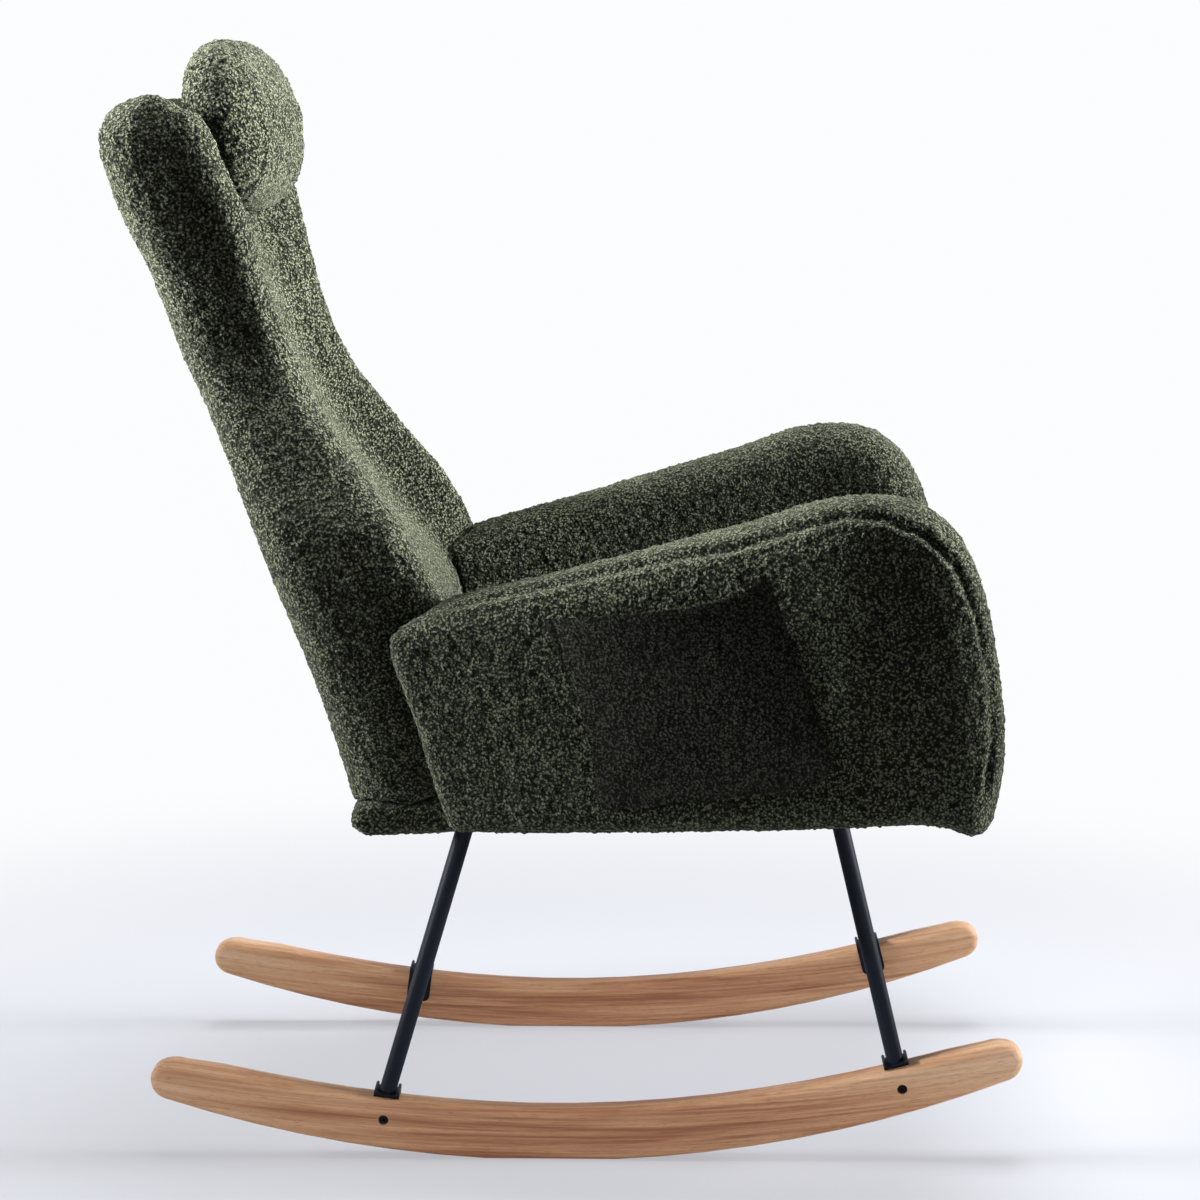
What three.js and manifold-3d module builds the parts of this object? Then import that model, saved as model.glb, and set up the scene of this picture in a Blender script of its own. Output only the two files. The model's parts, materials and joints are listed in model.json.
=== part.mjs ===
// A wing-back rocking chair: an upholstered seat on four steel legs and two bent wooden runners.
// Lengths are millimetres. +Z is up and the sitter faces -Y, so the sitter's right hand is at -X.
// "ahead" is a distance towards the chair's front, and the runners touch the floor at ahead = 0.
import * as THREE from 'three';
import { mergeVertices } from 'three/addons/utils/BufferGeometryUtils.js';
import Module from 'manifold-3d';

const wasm = await Module();
wasm.setup();

const degrees = THREE.MathUtils.degToRad;
const { lerp } = THREE.MathUtils;

// Fits that all pieces share
const touch = 0.3; // gap between pieces that rest on each other
const cutOverrun = 30; // how far a cutter passes the piece that it cuts
const sides = [{ side: 'right', sign: -1 }, { side: 'left', sign: 1 }];

// The seat's size, which most other sizes follow
const seatLength = 573;
const seatHalf = 272;

// Runners
const runnerRadius = 1168; // of the rolling face
const runnerHeight = 50.5; // at the middle
const runnerTipHeight = 38.5; // at both tips
const runnerTaper = 3; // the greater, the nearer to the tips the runners grow thinner
const runnerThick = 28;
const runnerInset = 58.2; // from the seat's side to a runner's middle
const runnerSpread = seatHalf - runnerInset;
const rearFootReach = -163; // along the rolling face, from the floor contact
const frontFootInset = 232; // from the length of the seat
const frontFootReach = seatLength - frontFootInset;
const rearTipBeyond = 227; // from a foot to the runner's tip
const frontTipBeyond = 117;
const runnerRearReach = rearTipBeyond - rearFootReach;
const runnerFrontReach = frontTipBeyond + frontFootReach;
const runnerFlat = 124; // length of the rolling face that the chair stands on, so that it stands still
const runnerFacet = 44; // straight steps along the rest of the rolling face
const runnerEdge = 6; // rounding of the long edges
const runnerEdgeSteps = 3;
const tipLowerLength = 19; // a tip is two quarter ovals that meet at its nose
const tipUpperLength = 29;
const tipNoseShare = 0.5; // height of the nose within the tip
const tipCurveSteps = 6;

// Legs and their feet
const legDiameter = 16;
const legWall = 1.5;
const legFacets = 16;
const rearLegTop = 110; // along the seat's underside, from its rear end
const frontLegInset = 119; // from the seat's front end
const frontLegTop = seatLength - frontLegInset;
const legTopInset = 96; // from the seat's side
const legTopSpread = seatHalf - legTopInset;
const bracketWidth = 24; // along the runner
const bracketSteel = 3;
const bracketLip = 3.2; // height of the two lips above the saddle
const bracketLipThick = 3;
const bracketLipRound = 1.2;
const bracketInset = 2; // from the runner's outer face to the saddle's edge
const bracketTab = 29; // how far the tab hangs down the runner's inner face
const weldNutWidth = 11;
const weldNutThick = 5;

// Bolts
const runnerBolt = { head: 9.4, headThick: 5, shank: 6, socket: 4.6, socketDeep: 2.6 };
const plateBolt = { head: 11, headThick: 3.2, shank: 6, socket: 4, socketDeep: 1.6 };
const boltFit = 0.3; // clearance round a shank or a head
const headRecess = 4; // how far a runner bolt's head lies under the wood
const runnerBoltDrop = 21; // from the runner's top
const plateBoltLength = 20;
const boltFacets = 12;
const plateBoltSpread = 44; // along the seat, between the two bolts of a plate
const plateThick = 3;
const plateLength = 64;
const plateWidth = 56;
const plateCorner = 8;

// Seat frame and its cover. The seat has its own axes: it rises towards the front.
const seatRear = -189; // ahead of the floor contact
const seatUnderside = 317.9; // height at the rear end
const bodySink = 4.5; // the back's and the arms' heights start this far under it
const bodyBase = seatUnderside - bodySink;
const seatTilt = degrees(2.63);
const ledgeLength = 92; // the low part, which carries the back
const ledgeHigh = 33;
const ledgeStart = 6; // the roll under the back starts this far in
const seatHigh = 62;
const ledgeRound = 16;
const seatFrontRound = 12;
const seatSideRound = 12;
const coverSkin = 3; // fabric and wadding over the frame
const coverWall = 14;
const coverRearWall = 20;
const railThick = 25;
const railHigh = 51.4;
const railTailHigh = 26.5; // side rails under the back
const railLift = 2.6; // over the seat's underside
const rearRailThick = 22;
const crossbarWide = 60;
const crossbarThick = 20;
const dustCoverThick = 1.5;
const dustCoverLift = 0.8;
const springWire = 3.6;
const springCount = 4;
const springGap = 100; // between springs
const springSwing = 22; // half the width of the waves
const springWave = 45;
const springWaveSteps = 8;
const springSides = 5;
const springOnRail = 17; // length of wire clipped to a rail

// Seat cushion
const cushionHigh = 75;
const cushionOverhang = 10; // ahead of the seat's cover
const cushionCrown = 12;
const cushionTopRound = 34;
const cushionBottomRound = 6;
const cushionArmGap = 1;

// Back and wings
const backTop = 673; // crest over the body's base
const backLean = 217; // how far the rear face reaches behind the seat at the head
const backFootShare = 0.968; // width of its foot, as a share of the widest
const backFootInset = 3.9; // from the seat's side to the foot's
const backHalf = (seatHalf - backFootInset) / backFootShare; // half the width where it is widest
const wingDepth = 150; // from the rear face to the wing's ridge, where it is deepest
const lumbarThick = 111;
const wingRidgeInset = 27; // from the outer face to the ridge
const wingInnerDraw = 31; // from the ridge to the inner face
const backCornerRound = 38;
const backBow = 5; // swell of the rear face
const panelCrown = 4;
const wingValley = 7; // hollow along a wing's outer face, where it is deepest
const wingValleyShares = [[0.35, 0], [0.6, 0.6], [0.8, 1], [0.921, 0.8]]; // depth by height
const crestDrop = 8;
const crestDrawShare = 0.75; // how far the crest keeps the depth of the wings
const crestTurns = [25, 50, 68, 81].map(degrees);
// Each row: height, lean, half width, wing depth and panel thickness, as shares of the sizes above
const backShares = [
  [0, -0.097, backFootShare, 0.48, 0.631],
  [0.03, -0.06, backFootShare, 0.533, 0.703],
  [0.059, -0.023, backFootShare, 0.587, 0.775],
  [0.104, 0.016, 0.975, 0.65, 0.86],
  [0.178, 0.083, 0.989, 0.743, 0.968],
  [0.267, 0.184, 1, 0.853, 1],
  [0.332, 0.267, 1, 0.996, 0.905],
  [0.373, 0.316, 1, 0.99, 0.779],
  [0.431, 0.387, 0.975, 0.933, 0.685],
  [0.49, 0.465, 0.899, 0.837, 0.604],
  [0.553, 0.553, 0.834, 0.755, 0.586],
  [0.593, 0.611, 0.787, 0.707, 0.586],
  [0.655, 0.71, 0.747, 0.713, 0.626],
  [0.713, 0.767, 0.769, 0.703, 0.599],
  [0.765, 0.82, 0.796, 0.716, 0.577],
  [0.816, 0.892, 0.834, 0.759, 0.59],
  [0.86, 0.947, 0.866, 0.79, 0.595],
  [0.921, 1, 0.892, 0.753, 0.55],
];

// Frame inside the back
const stileWide = 25;
const stileDeep = 28;
const stileInset = 36; // from the back's outer face
const stileRearCover = 12; // padding behind the stiles
const stileTopShare = 0.9;
const backRailHigh = 40;
const backRailThick = 20;
const backRailShares = [0.21, 0.52, 0.855]; // heights of the rails' lower edges
const wingBoardThick = 12;
const wingBoardCover = 22; // padding ahead of a wing board
const wingBoardShares = [0.15, 0.9];
const webbingThick = 2;
const webbingHigh = 50;
const webbingShares = [0.36, 0.66];
const frameFit = 0.4; // between the frame and its padding
const webbingSideGap = 8; // between the webbing's ends and the wing boards

// Arms
const armRear = 43; // ahead of the seat's rear end
const armBottom = 30; // over the body's base
const armFrontInset = 19; // shorter than the seat by this much
const armLength = seatLength - armFrontInset;
const armHigh = 299;
const armThick = 84;
const armRound = 38;
const armRearInset = 22; // from the seat's side to an arm's middle, at the arm's rear
const armMiddleOutset = 2;
const armFrontOutset = 37;
const armSpreadRear = seatHalf - armRearInset;
const armSpreadMiddle = seatHalf + armMiddleOutset;
const armSpreadFront = seatHalf + armFrontOutset;
const armMiddleShare = 0.249; // where the arms' flare changes, along their length
const armFrontShare = 0.737;
// Each row: length and height of the top line, then of the bottom line, as shares of the arm
const armShares = [
  [0.04, 0.321, 0.051, 0.268],
  [0.02, 0.418, 0.069, 0.167],
  [0.004, 0.512, 0.092, 0.057],
  [0.014, 0.569, 0.105, 0.008],
  [0.096, 0.656, 0.141, 0],
  [0.265, 0.742, 0.265, 0.007],
  [0.468, 0.85, 0.468, 0.023],
  [0.603, 0.92, 0.603, 0.035],
  [0.7, 0.983, 0.7, 0.045],
  [0.789, 1, 0.789, 0.053],
  [0.863, 0.973, 0.863, 0.06],
  [0.926, 0.87, 0.913, 0.043],
  [0.964, 0.709, 0.949, 0.02],
  [0.984, 0.535, 0.975, 0.04],
  [0.997, 0.368, 0.992, 0.117],
  [1, 0.301, 1, 0.217],
];
const armTopRoundShares = [0.26, 0.26, 0.28, 0.4, 0.8, 1, 1, 1, 1, 1, 1, 1, 1, 1, 1, 1];
const armBottomRoundShares =
  [0.26, 0.26, 0.28, 0.3, 0.36, 0.37, 0.37, 0.37, 0.37, 0.37, 0.4, 0.5, 0.7, 0.85, 0.95, 1];
const armPanelThick = 12;
const armPanelCover = 18; // padding outside an arm's panel
const armPanelTopCover = 48;
const armPanelBottomCover = 22;
const armPanelShares = [armMiddleShare, 0.4, 0.6, armFrontShare, 0.857]; // stations along the arm
const armBlockHigh = 24; // the block that joins an arm's panel to the seat's side rail
const armBlockLift = 24; // over the seat's underside
const armBlockShares = [0.3, 0.62];

// Side pockets
const pocketDepth = 18; // of the pouch at its mouth
const pocketSheet = 2.5;
const pocketSeam = 5; // width of the sewn edge
const pocketTaperShare = 0.4; // depth at the bottom, of the depth at the mouth
// Outline as shares of the arm's length and height: down the rear edge, along the bottom, up the front
const pocketEdgeShares = [
  [0.258, 0.629], [0.294, 0.472], [0.321, 0.268], [0.348, 0.052], [0.504, 0.09], [0.672, 0.13],
  [0.727, 0.197], [0.704, 0.321], [0.675, 0.475], [0.641, 0.649], [0.614, 0.773],
];
const pocketMouthShares = [[0.569, 0.722], [0.502, 0.686], [0.401, 0.659]];

// Head pillow
const pillowSideGap = 117; // to the back's widest outer face
const pillowHalf = backHalf - pillowSideGap;
const pillowHigh = 162;
const pillowThick = 88;
const pillowRound = 40;
const pillowCrown = 7;
const pillowSquareness = 3;
const pillowInset = 1.5; // its rounding is deeper across its height than through its thickness
const pillowUpright = degrees(9.5); // it stands steeper than the back's face
const pillowMiddle = 637; // height of its middle over the body's base
const pillowTravel = 50; // it can be moved down by this much
const pillowPoints = 14; // on each half of its outline

// Materials
const finish = (color, roughness, metalness) =>
  new THREE.MeshStandardMaterial({ color, roughness, metalness });
const boucle = finish(0x4a4d3a, 0.95, 0);
const pocketCloth = finish(0x34382c, 0.95, 0);
const runnerWood = finish(0xc79a6b, 0.5, 0);
const frameWood = finish(0xb89a72, 0.7, 0);
const blackSteel = finish(0x14161b, 0.4, 0.6);
const springSteel = finish(0x777777, 0.4, 0.9);
const blackCloth = finish(0x1c1c1c, 0.9, 0);

// Placing: every function takes (x, ahead, up) and gives a point of the chair
const onFloor = (x, ahead, up) => new THREE.Vector3(x, -ahead, up);
const turned = (x0, ahead0, up0, angle) => (x, ahead, up) => onFloor(
  x0 + x,
  ahead0 + ahead * Math.cos(angle) - up * Math.sin(angle),
  up0 + ahead * Math.sin(angle) + up * Math.cos(angle),
);
const fromBase = turned(0, seatRear, bodyBase, 0); // upright, from below the seat's rear end
const onSeat = turned(0, seatRear, seatUnderside, seatTilt); // along the seat's own slope

// Turns a closed mesh's faces outwards: a form that is mirrored when placed comes out inside out
function outward(geometry) {
  const spots = geometry.getAttribute('position');
  const corners = geometry.index.array;
  const [a, b, c] = [new THREE.Vector3(), new THREE.Vector3(), new THREE.Vector3()];
  let volume = 0;
  for (let i = 0; i < corners.length; i += 3) {
    a.fromBufferAttribute(spots, corners[i]);
    b.fromBufferAttribute(spots, corners[i + 1]);
    c.fromBufferAttribute(spots, corners[i + 2]);
    volume += a.dot(b.cross(c));
  }
  if (volume < 0) {
    corners.reverse();
  }
  return geometry;
}

// A solid from a closed geometry whose corners are given in a piece's own (x, ahead, up)
function solid(geometry, place) {
  const bare = new THREE.BufferGeometry();
  bare.setAttribute('position', geometry.getAttribute('position').clone());
  bare.setIndex(geometry.index);
  const merged = mergeVertices(bare);
  const spots = merged.getAttribute('position');
  for (let i = 0; i < spots.count; i += 1) {
    const spot = place(spots.getX(i), spots.getY(i), spots.getZ(i));
    spots.setXYZ(i, spot.x, spot.y, spot.z);
  }
  outward(merged);
  return new wasm.Manifold(new wasm.Mesh({
    numProp: 3,
    vertProperties: spots.array,
    triVerts: new Uint32Array(merged.index.array),
  }));
}

const cut = (piece, ...tools) => tools.reduce((rest, tool) => rest.subtract(tool), piece);
const join = (piece, ...others) => others.reduce((whole, other) => whole.add(other), piece);

// A box between two corners, each given as [x, ahead, up]
function block(low, high, place) {
  const size = high.map((value, i) => value - low[i]);
  const box = new THREE.BoxGeometry(...size);
  box.translate(...low.map((value, i) => value + size[i] / 2));
  return solid(box, place);
}

// A profile of (ahead, up) points, drawn out over a width along x, with rounded edges if asked
function slab(profile, width, place, round = 0, roundSteps = 2) {
  const shape = new THREE.Shape(profile);
  const drawn = new THREE.ExtrudeGeometry(shape, {
    depth: width - 2 * round,
    bevelEnabled: round > 0,
    bevelThickness: round,
    bevelSize: round,
    bevelOffset: -round,
    bevelSegments: roundSteps,
  });
  return solid(drawn, (ahead, up, x) => place(x + round - width / 2, ahead, up));
}

// A closed skin over a row of rings. Point i of a ring faces point (count - 1 - i), so that a
// ladder between the two closes each end.
function skin(rings, place) {
  const count = rings[0].length;
  const corner = (ring, i) => ring * count + (i % count);
  const faces = [];
  const strip = (a, b, c, d) => faces.push(a, b, c, a, c, d);
  for (let ring = 0; ring + 1 < rings.length; ring += 1) {
    for (let i = 0; i < count; i += 1) {
      strip(corner(ring, i), corner(ring, i + 1), corner(ring + 1, i + 1), corner(ring + 1, i));
    }
  }
  const last = rings.length - 1;
  for (let i = 0; i + 1 < count / 2; i += 1) {
    const facing = count - 1 - i;
    strip(corner(0, i), corner(0, facing), corner(0, facing - 1), corner(0, i + 1));
    strip(corner(last, i), corner(last, i + 1), corner(last, facing - 1), corner(last, facing));
  }
  const geometry = new THREE.BufferGeometry();
  const spots = rings.flat().flatMap((point) => point.toArray());
  geometry.setAttribute('position', new THREE.Float32BufferAttribute(spots, 3));
  geometry.setIndex(faces);
  return solid(geometry, place);
}

// Unit vectors that point into a closed outline from each of its points
function inwards(outline) {
  const turn = Math.sign(THREE.ShapeUtils.area(outline));
  return outline.map((point, i) => {
    const along = outline[(i + 1) % outline.length].clone().sub(outline.at(i - 1)).normalize();
    return new THREE.Vector2(-along.y, along.x).multiplyScalar(turn);
  });
}

// Rings of a stuffed form. An outline is drawn in towards its low and high faces by each point's
// own rounding, which an inset other than 1 makes oval, and a crown swells the high face. Rings
// hold (first, second, thickness).
function stuffed({ outline, lowRound, highRound, low, high, crown = 0, grow = 0, steps = 3, inset = 1 }) {
  const into = inwards(outline);
  const level = (angle, face, rounds, away) => outline.map((point, i) => {
    const drawnIn = inset * rounds[i] * (1 - Math.cos(angle)) - grow;
    const at = point.clone().addScaledVector(into[i], drawnIn);
    return new THREE.Vector3(at.x, at.y, face + away * (grow - rounds[i] * (1 - Math.sin(angle))));
  });
  const rings = [];
  for (let step = steps; step >= 0; step -= 1) {
    rings.push(level((step / steps) * (Math.PI / 2), low, lowRound, -1));
  }
  for (let step = 0; step <= steps; step += 1) {
    rings.push(level((step / steps) * (Math.PI / 2), high, highRound, 1));
  }
  const rim = rings.at(-1);
  const facing = (i) => rim[rim.length - 1 - i];
  const widest = Math.max(...rim.map((point, i) => point.distanceTo(facing(i))));
  const crownShares = [0.3, 0.65];
  for (const share of crown > 0 ? crownShares : []) {
    const swell = crown * (1 - (1 - share) ** 2);
    rings.push(rim.map((point, i) => {
      const spine = point.clone().add(facing(i)).multiplyScalar(1 / 2);
      const at = point.clone().lerp(spine, share);
      return new THREE.Vector3(at.x, at.y, point.z + swell * (point.distanceTo(facing(i)) / widest));
    }));
  }
  return rings;
}

// A symmetric outline from the points of its +x half, from one end to the other
const mirrored = (half) => [
  ...half,
  ...half.toReversed().map((point) => new THREE.Vector2(-point.x, point.y)),
];

// Reads a table of [position, value] rows between its rows
function between(rows, position) {
  const next = rows.findIndex((row) => row[0] >= position);
  if (next === 0 || next === -1) {
    return next === 0 ? rows[0][1] : rows.at(-1)[1];
  }
  const [from, to] = [rows[next - 1], rows[next]];
  return lerp(from[1], to[1], (position - from[0]) / (to[0] - from[0]));
}

const chair = new THREE.Group();
function add(name, piece, material) {
  const built = piece.getMesh();
  const geometry = new THREE.BufferGeometry();
  geometry.setAttribute('position', new THREE.Float32BufferAttribute(built.vertProperties, 3));
  geometry.setIndex(new THREE.Uint32BufferAttribute(built.triVerts, 1));
  geometry.computeVertexNormals();
  const mesh = new THREE.Mesh(geometry, material);
  mesh.name = name;
  chair.add(mesh);
}

// Runners: their rolling face and top are arcs about one point, so a place on them is an angle
const halfFacetAngle = runnerFacet / 2 / runnerRadius;
const halfFlatAngle = Math.asin(runnerFlat / 2 / runnerRadius);
const runnerCentre = runnerRadius * Math.cos(halfFlatAngle); // the flat lies on the floor
const reachAngle = (reach) => reach / runnerRadius;
const onArc = (angle, radius) => new THREE.Vector2(
  radius * Math.sin(angle),
  runnerCentre - radius * Math.cos(angle),
);
function runnerHeightAt(angle) {
  const tip = reachAngle(angle < 0 ? runnerRearReach : runnerFrontReach);
  return lerp(runnerHeight, runnerTipHeight, Math.abs(angle / tip) ** runnerTaper);
}
// Angles of the facets' corners from a first one on each side to where the tips' curves start
function facetAngles(first) {
  const oneSide = (reach) => {
    const end = reachAngle(reach - tipLowerLength);
    const count = Math.max(1, Math.round(((end - first) * runnerRadius) / runnerFacet));
    return Array.from({ length: count + 1 }, (_, i) => lerp(first, end, i / count));
  };
  const rear = oneSide(runnerRearReach).map((angle) => -angle);
  return [...rear.reverse(), ...oneSide(runnerFrontReach)];
}
// One tip, from the rolling face round its nose to the top
function tipCurve(reach, direction) {
  const nose = tipNoseShare * runnerTipHeight;
  const points = [];
  const oval = (turn, length, height, away) => onArc(
    direction * reachAngle(reach - length * (1 - Math.cos(turn))),
    runnerRadius - nose + away * height * Math.sin(turn),
  );
  for (let step = 1; step <= tipCurveSteps; step += 1) {
    const turn = (Math.PI / 2) * (1 - step / tipCurveSteps);
    points.push(oval(turn, tipLowerLength, nose, 1));
  }
  for (let step = 1; step <= tipCurveSteps; step += 1) {
    const turn = (Math.PI / 2) * (step / tipCurveSteps);
    points.push(oval(turn, tipUpperLength, runnerTipHeight - nose, -1));
  }
  return points;
}
function runnerOutline() {
  const topOf = (angle) => onArc(angle, runnerRadius - runnerHeightAt(angle));
  const clear = (reach) => reachAngle(reach - tipUpperLength - runnerFacet / 2);
  const top = facetAngles(halfFacetAngle).filter(
    (angle) => angle > -clear(runnerRearReach) && angle < clear(runnerFrontReach),
  );
  return [
    ...facetAngles(halfFlatAngle).map((angle) => onArc(angle, runnerRadius)),
    ...tipCurve(runnerFrontReach, 1),
    ...top.reverse().map(topOf),
    ...tipCurve(runnerRearReach, -1).reverse(),
  ];
}

// A screw along +up from its head's outer face, with a hexagonal socket
function screw({ head, headThick, shank, socket, socketDeep }, length, place, grow = 0) {
  const profile = [
    [0, -grow], [head / 2 + grow, -grow], [head / 2 + grow, headThick + grow],
    [shank / 2 + grow, headThick + grow], [shank / 2 + grow, headThick + length], [0, headThick + length],
  ].map(([radius, along]) => new THREE.Vector2(radius, along));
  const body = solid(new THREE.LatheGeometry(profile, boltFacets), (x, along, z) => place(x, z, along));
  if (grow > 0) {
    return body;
  }
  const hexagon = new THREE.CylinderGeometry(socket / 2, socket / 2, socketDeep * 2, 6);
  return cut(body, solid(hexagon, (x, along, z) => place(x, z, along)));
}

// Feet: each stands at an angle on a runner, with its own axes along the runner and square to it
const topGap = touch + runnerFacet ** 2 / (8 * (runnerRadius - runnerHeight));
const feet = [
  { end: 'rear', angle: reachAngle(rearFootReach), legTop: rearLegTop },
  { end: 'front', angle: reachAngle(frontFootReach), legTop: frontLegTop },
];
function footPlace(foot, sign) {
  const spot = onArc(foot.angle, runnerRadius - runnerHeightAt(foot.angle));
  const [behind, before] = [foot.angle - halfFacetAngle, foot.angle + halfFacetAngle];
  const taper = Math.atan2(runnerHeightAt(before) - runnerHeightAt(behind), runnerFacet);
  return turned(sign * runnerSpread, spot.x, spot.y, foot.angle + taper);
}
// Places a runner bolt in a foot: its own "up" points from the runner's outer face to the chair's middle
function runnerBoltPlace(sign, place) {
  const headFace = runnerThick / 2 - headRecess;
  return (x, y, along) => place(sign * (headFace - along), x, y - runnerBoltDrop);
}
// Moves a piece that was made square to the floor to where it belongs
const settle = (piece, place) => piece.warp((spot) => {
  const to = place(spot[0], -spot[1], spot[2]);
  [spot[0], spot[1], spot[2]] = [to.x, to.y, to.z];
});
const runnerShank = runnerThick - headRecess - runnerBolt.headThick + touch + bracketSteel + weldNutThick;

function makeRunner(sign) {
  const flat = turned(sign * runnerSpread, 0, 0, 0);
  const board = slab(runnerOutline(), runnerThick, flat, runnerEdge, runnerEdgeSteps);
  const holes = feet.map((foot) => {
    const place = runnerBoltPlace(sign, footPlace(foot, sign));
    const bore = screw(runnerBolt, runnerShank + cutOverrun, place, boltFit);
    const mouthRadius = runnerBolt.head / 2 + boltFit;
    const mouthLength = headRecess + cutOverrun;
    const mouth = new THREE.CylinderGeometry(mouthRadius, mouthRadius, mouthLength, boltFacets);
    mouth.translate(0, -mouthLength / 2, 0);
    return join(bore, solid(mouth, (x, along, z) => place(x, z, along)));
  });
  return cut(board, ...holes);
}

function makeBracket(foot, sign) {
  const half = bracketWidth / 2;
  const floor = topGap;
  const deck = floor + bracketSteel;
  const lipTop = deck + bracketLip;
  const lipSide = lipTop - bracketLipRound;
  const lipInner = half - bracketLipThick;
  const saddleSide = [
    [half, floor], [half, lipSide], [half - bracketLipRound, lipTop],
    [lipInner + bracketLipRound, lipTop], [lipInner, lipSide], [lipInner, deck],
  ];
  const saddle = [...saddleSide, ...saddleSide.toReversed().map(([ahead, up]) => [-ahead, up])]
    .map(([ahead, up]) => new THREE.Vector2(ahead, up));
  const tabReach = runnerThick / 2 + touch + bracketSteel;
  const saddleReach = runnerThick / 2 - bracketInset;
  const shift = -sign * (tabReach - saddleReach) / 2;
  const saddleSolid = slab(saddle, saddleReach + tabReach, (x, a, u) => onFloor(x + shift, a, u));
  const tabRound = half / 2;
  const tab = new THREE.Shape();
  tab.moveTo(-half, deck);
  tab.lineTo(-half, tabRound - bracketTab);
  tab.absarc(-half + tabRound, tabRound - bracketTab, tabRound, Math.PI, Math.PI * 1.5, false);
  tab.absarc(half - tabRound, tabRound - bracketTab, tabRound, Math.PI * 1.5, Math.PI * 2, false);
  tab.lineTo(half, deck);
  const tabMiddle = -sign * (runnerThick / 2 + touch + bracketSteel / 2);
  const tabSolid = slab(tab.getPoints(3), bracketSteel, (x, a, u) => onFloor(x + tabMiddle, a, u));
  const nut = new THREE.CylinderGeometry(weldNutWidth / 2, weldNutWidth / 2, weldNutThick + 1, 6);
  const nutMiddle = -sign * (tabReach + (weldNutThick - 1) / 2);
  const nutSolid = solid(nut, (x, along, z) => onFloor(nutMiddle + along, x, z - runnerBoltDrop));
  const boltPlace = runnerBoltPlace(sign, onFloor);
  const bore = screw(runnerBolt, runnerShank + cutOverrun, boltPlace, boltFit);
  return settle(cut(join(saddleSolid, tabSolid, nutSolid), bore), footPlace(foot, sign));
}

// A leg's tube runs from its saddle to its plate and is cut flush with both
const plateTop = -touch;
const plateBottom = plateTop - plateThick;
function makeLeg(foot, sign) {
  const footSpot = footPlace(foot, sign)(0, 0, topGap + bracketSteel);
  const topSpot = onSeat(sign * legTopSpread, foot.legTop, plateBottom);
  const axis = topSpot.clone().sub(footSpot);
  const length = axis.length() + 2 * cutOverrun;
  const wall = [
    [legDiameter / 2 - legWall, 0], [legDiameter / 2, 0], [legDiameter / 2, length],
    [legDiameter / 2 - legWall, length], [legDiameter / 2 - legWall, 0],
  ].map(([radius, along]) => new THREE.Vector2(radius, along));
  const turn = new THREE.Quaternion().setFromUnitVectors(
    new THREE.Vector3(0, 1, 0),
    axis.clone().normalize(),
  );
  const start = footSpot.clone().addScaledVector(axis.normalize(), -cutOverrun);
  const tube = solid(new THREE.LatheGeometry(wall, legFacets), (x, y, z) =>
    new THREE.Vector3(x, y, z).applyQuaternion(turn).add(start));
  const reach = 2 * cutOverrun + legDiameter;
  const under = block(
    [-reach, -reach, -2 * reach],
    [reach, reach, topGap + bracketSteel + touch],
    footPlace(foot, sign),
  );
  const over = block(
    [sign * legTopSpread - reach, foot.legTop - reach, plateBottom - touch],
    [sign * legTopSpread + reach, foot.legTop + reach, 2 * reach],
    onSeat,
  );
  return cut(tube, under, over);
}

// Plates lie under the seat's crossbars, each with two bolts
const plateBoltSpots = [-1, 1];
const plateBoltPlace = (foot, sign, which) => (x, y, along) => onSeat(
  sign * (legTopSpread + which * (plateWidth / 2 - plateCorner * 1.5)) + x,
  foot.legTop + which * (plateBoltSpread / 2) + y,
  plateBottom - plateBolt.headThick + along,
);
function makePlate(foot, sign) {
  const [halfLong, halfWide] = [plateLength / 2, plateWidth / 2];
  const plan = new THREE.Shape();
  plan.moveTo(halfWide, -halfLong + plateCorner);
  plan.absarc(halfWide - plateCorner, halfLong - plateCorner, plateCorner, 0, Math.PI / 2, false);
  plan.absarc(-halfWide + plateCorner, halfLong - plateCorner, plateCorner, Math.PI / 2, Math.PI, false);
  plan.absarc(-halfWide + plateCorner, -halfLong + plateCorner, plateCorner, Math.PI, Math.PI * 1.5, false);
  plan.absarc(halfWide - plateCorner, -halfLong + plateCorner, plateCorner, Math.PI * 1.5, Math.PI * 2, false);
  const sheet = new THREE.ExtrudeGeometry(new THREE.Shape(plan.getPoints(3)), {
    depth: plateThick,
    bevelEnabled: false,
  });
  const plate = solid(sheet, (x, ahead, up) =>
    onSeat(sign * legTopSpread + x, foot.legTop + ahead, plateBottom + up));
  return cut(plate, ...plateBoltSpots.map((which) => shankHole(foot, sign, which)));
}
// A clearance hole for a plate bolt's shank alone
function shankHole(foot, sign, which) {
  const radius = plateBolt.shank / 2 + boltFit;
  const pin = new THREE.CylinderGeometry(radius, radius, 2 * plateBoltLength + 2 * cutOverrun, boltFacets);
  const place = plateBoltPlace(foot, sign, which);
  return solid(pin, (x, along, z) => place(x, z, along));
}
const allShankHoles = () => sides.flatMap(({ sign }) => feet.flatMap((foot) =>
  plateBoltSpots.map((which) => shankHole(foot, sign, which))));

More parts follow.
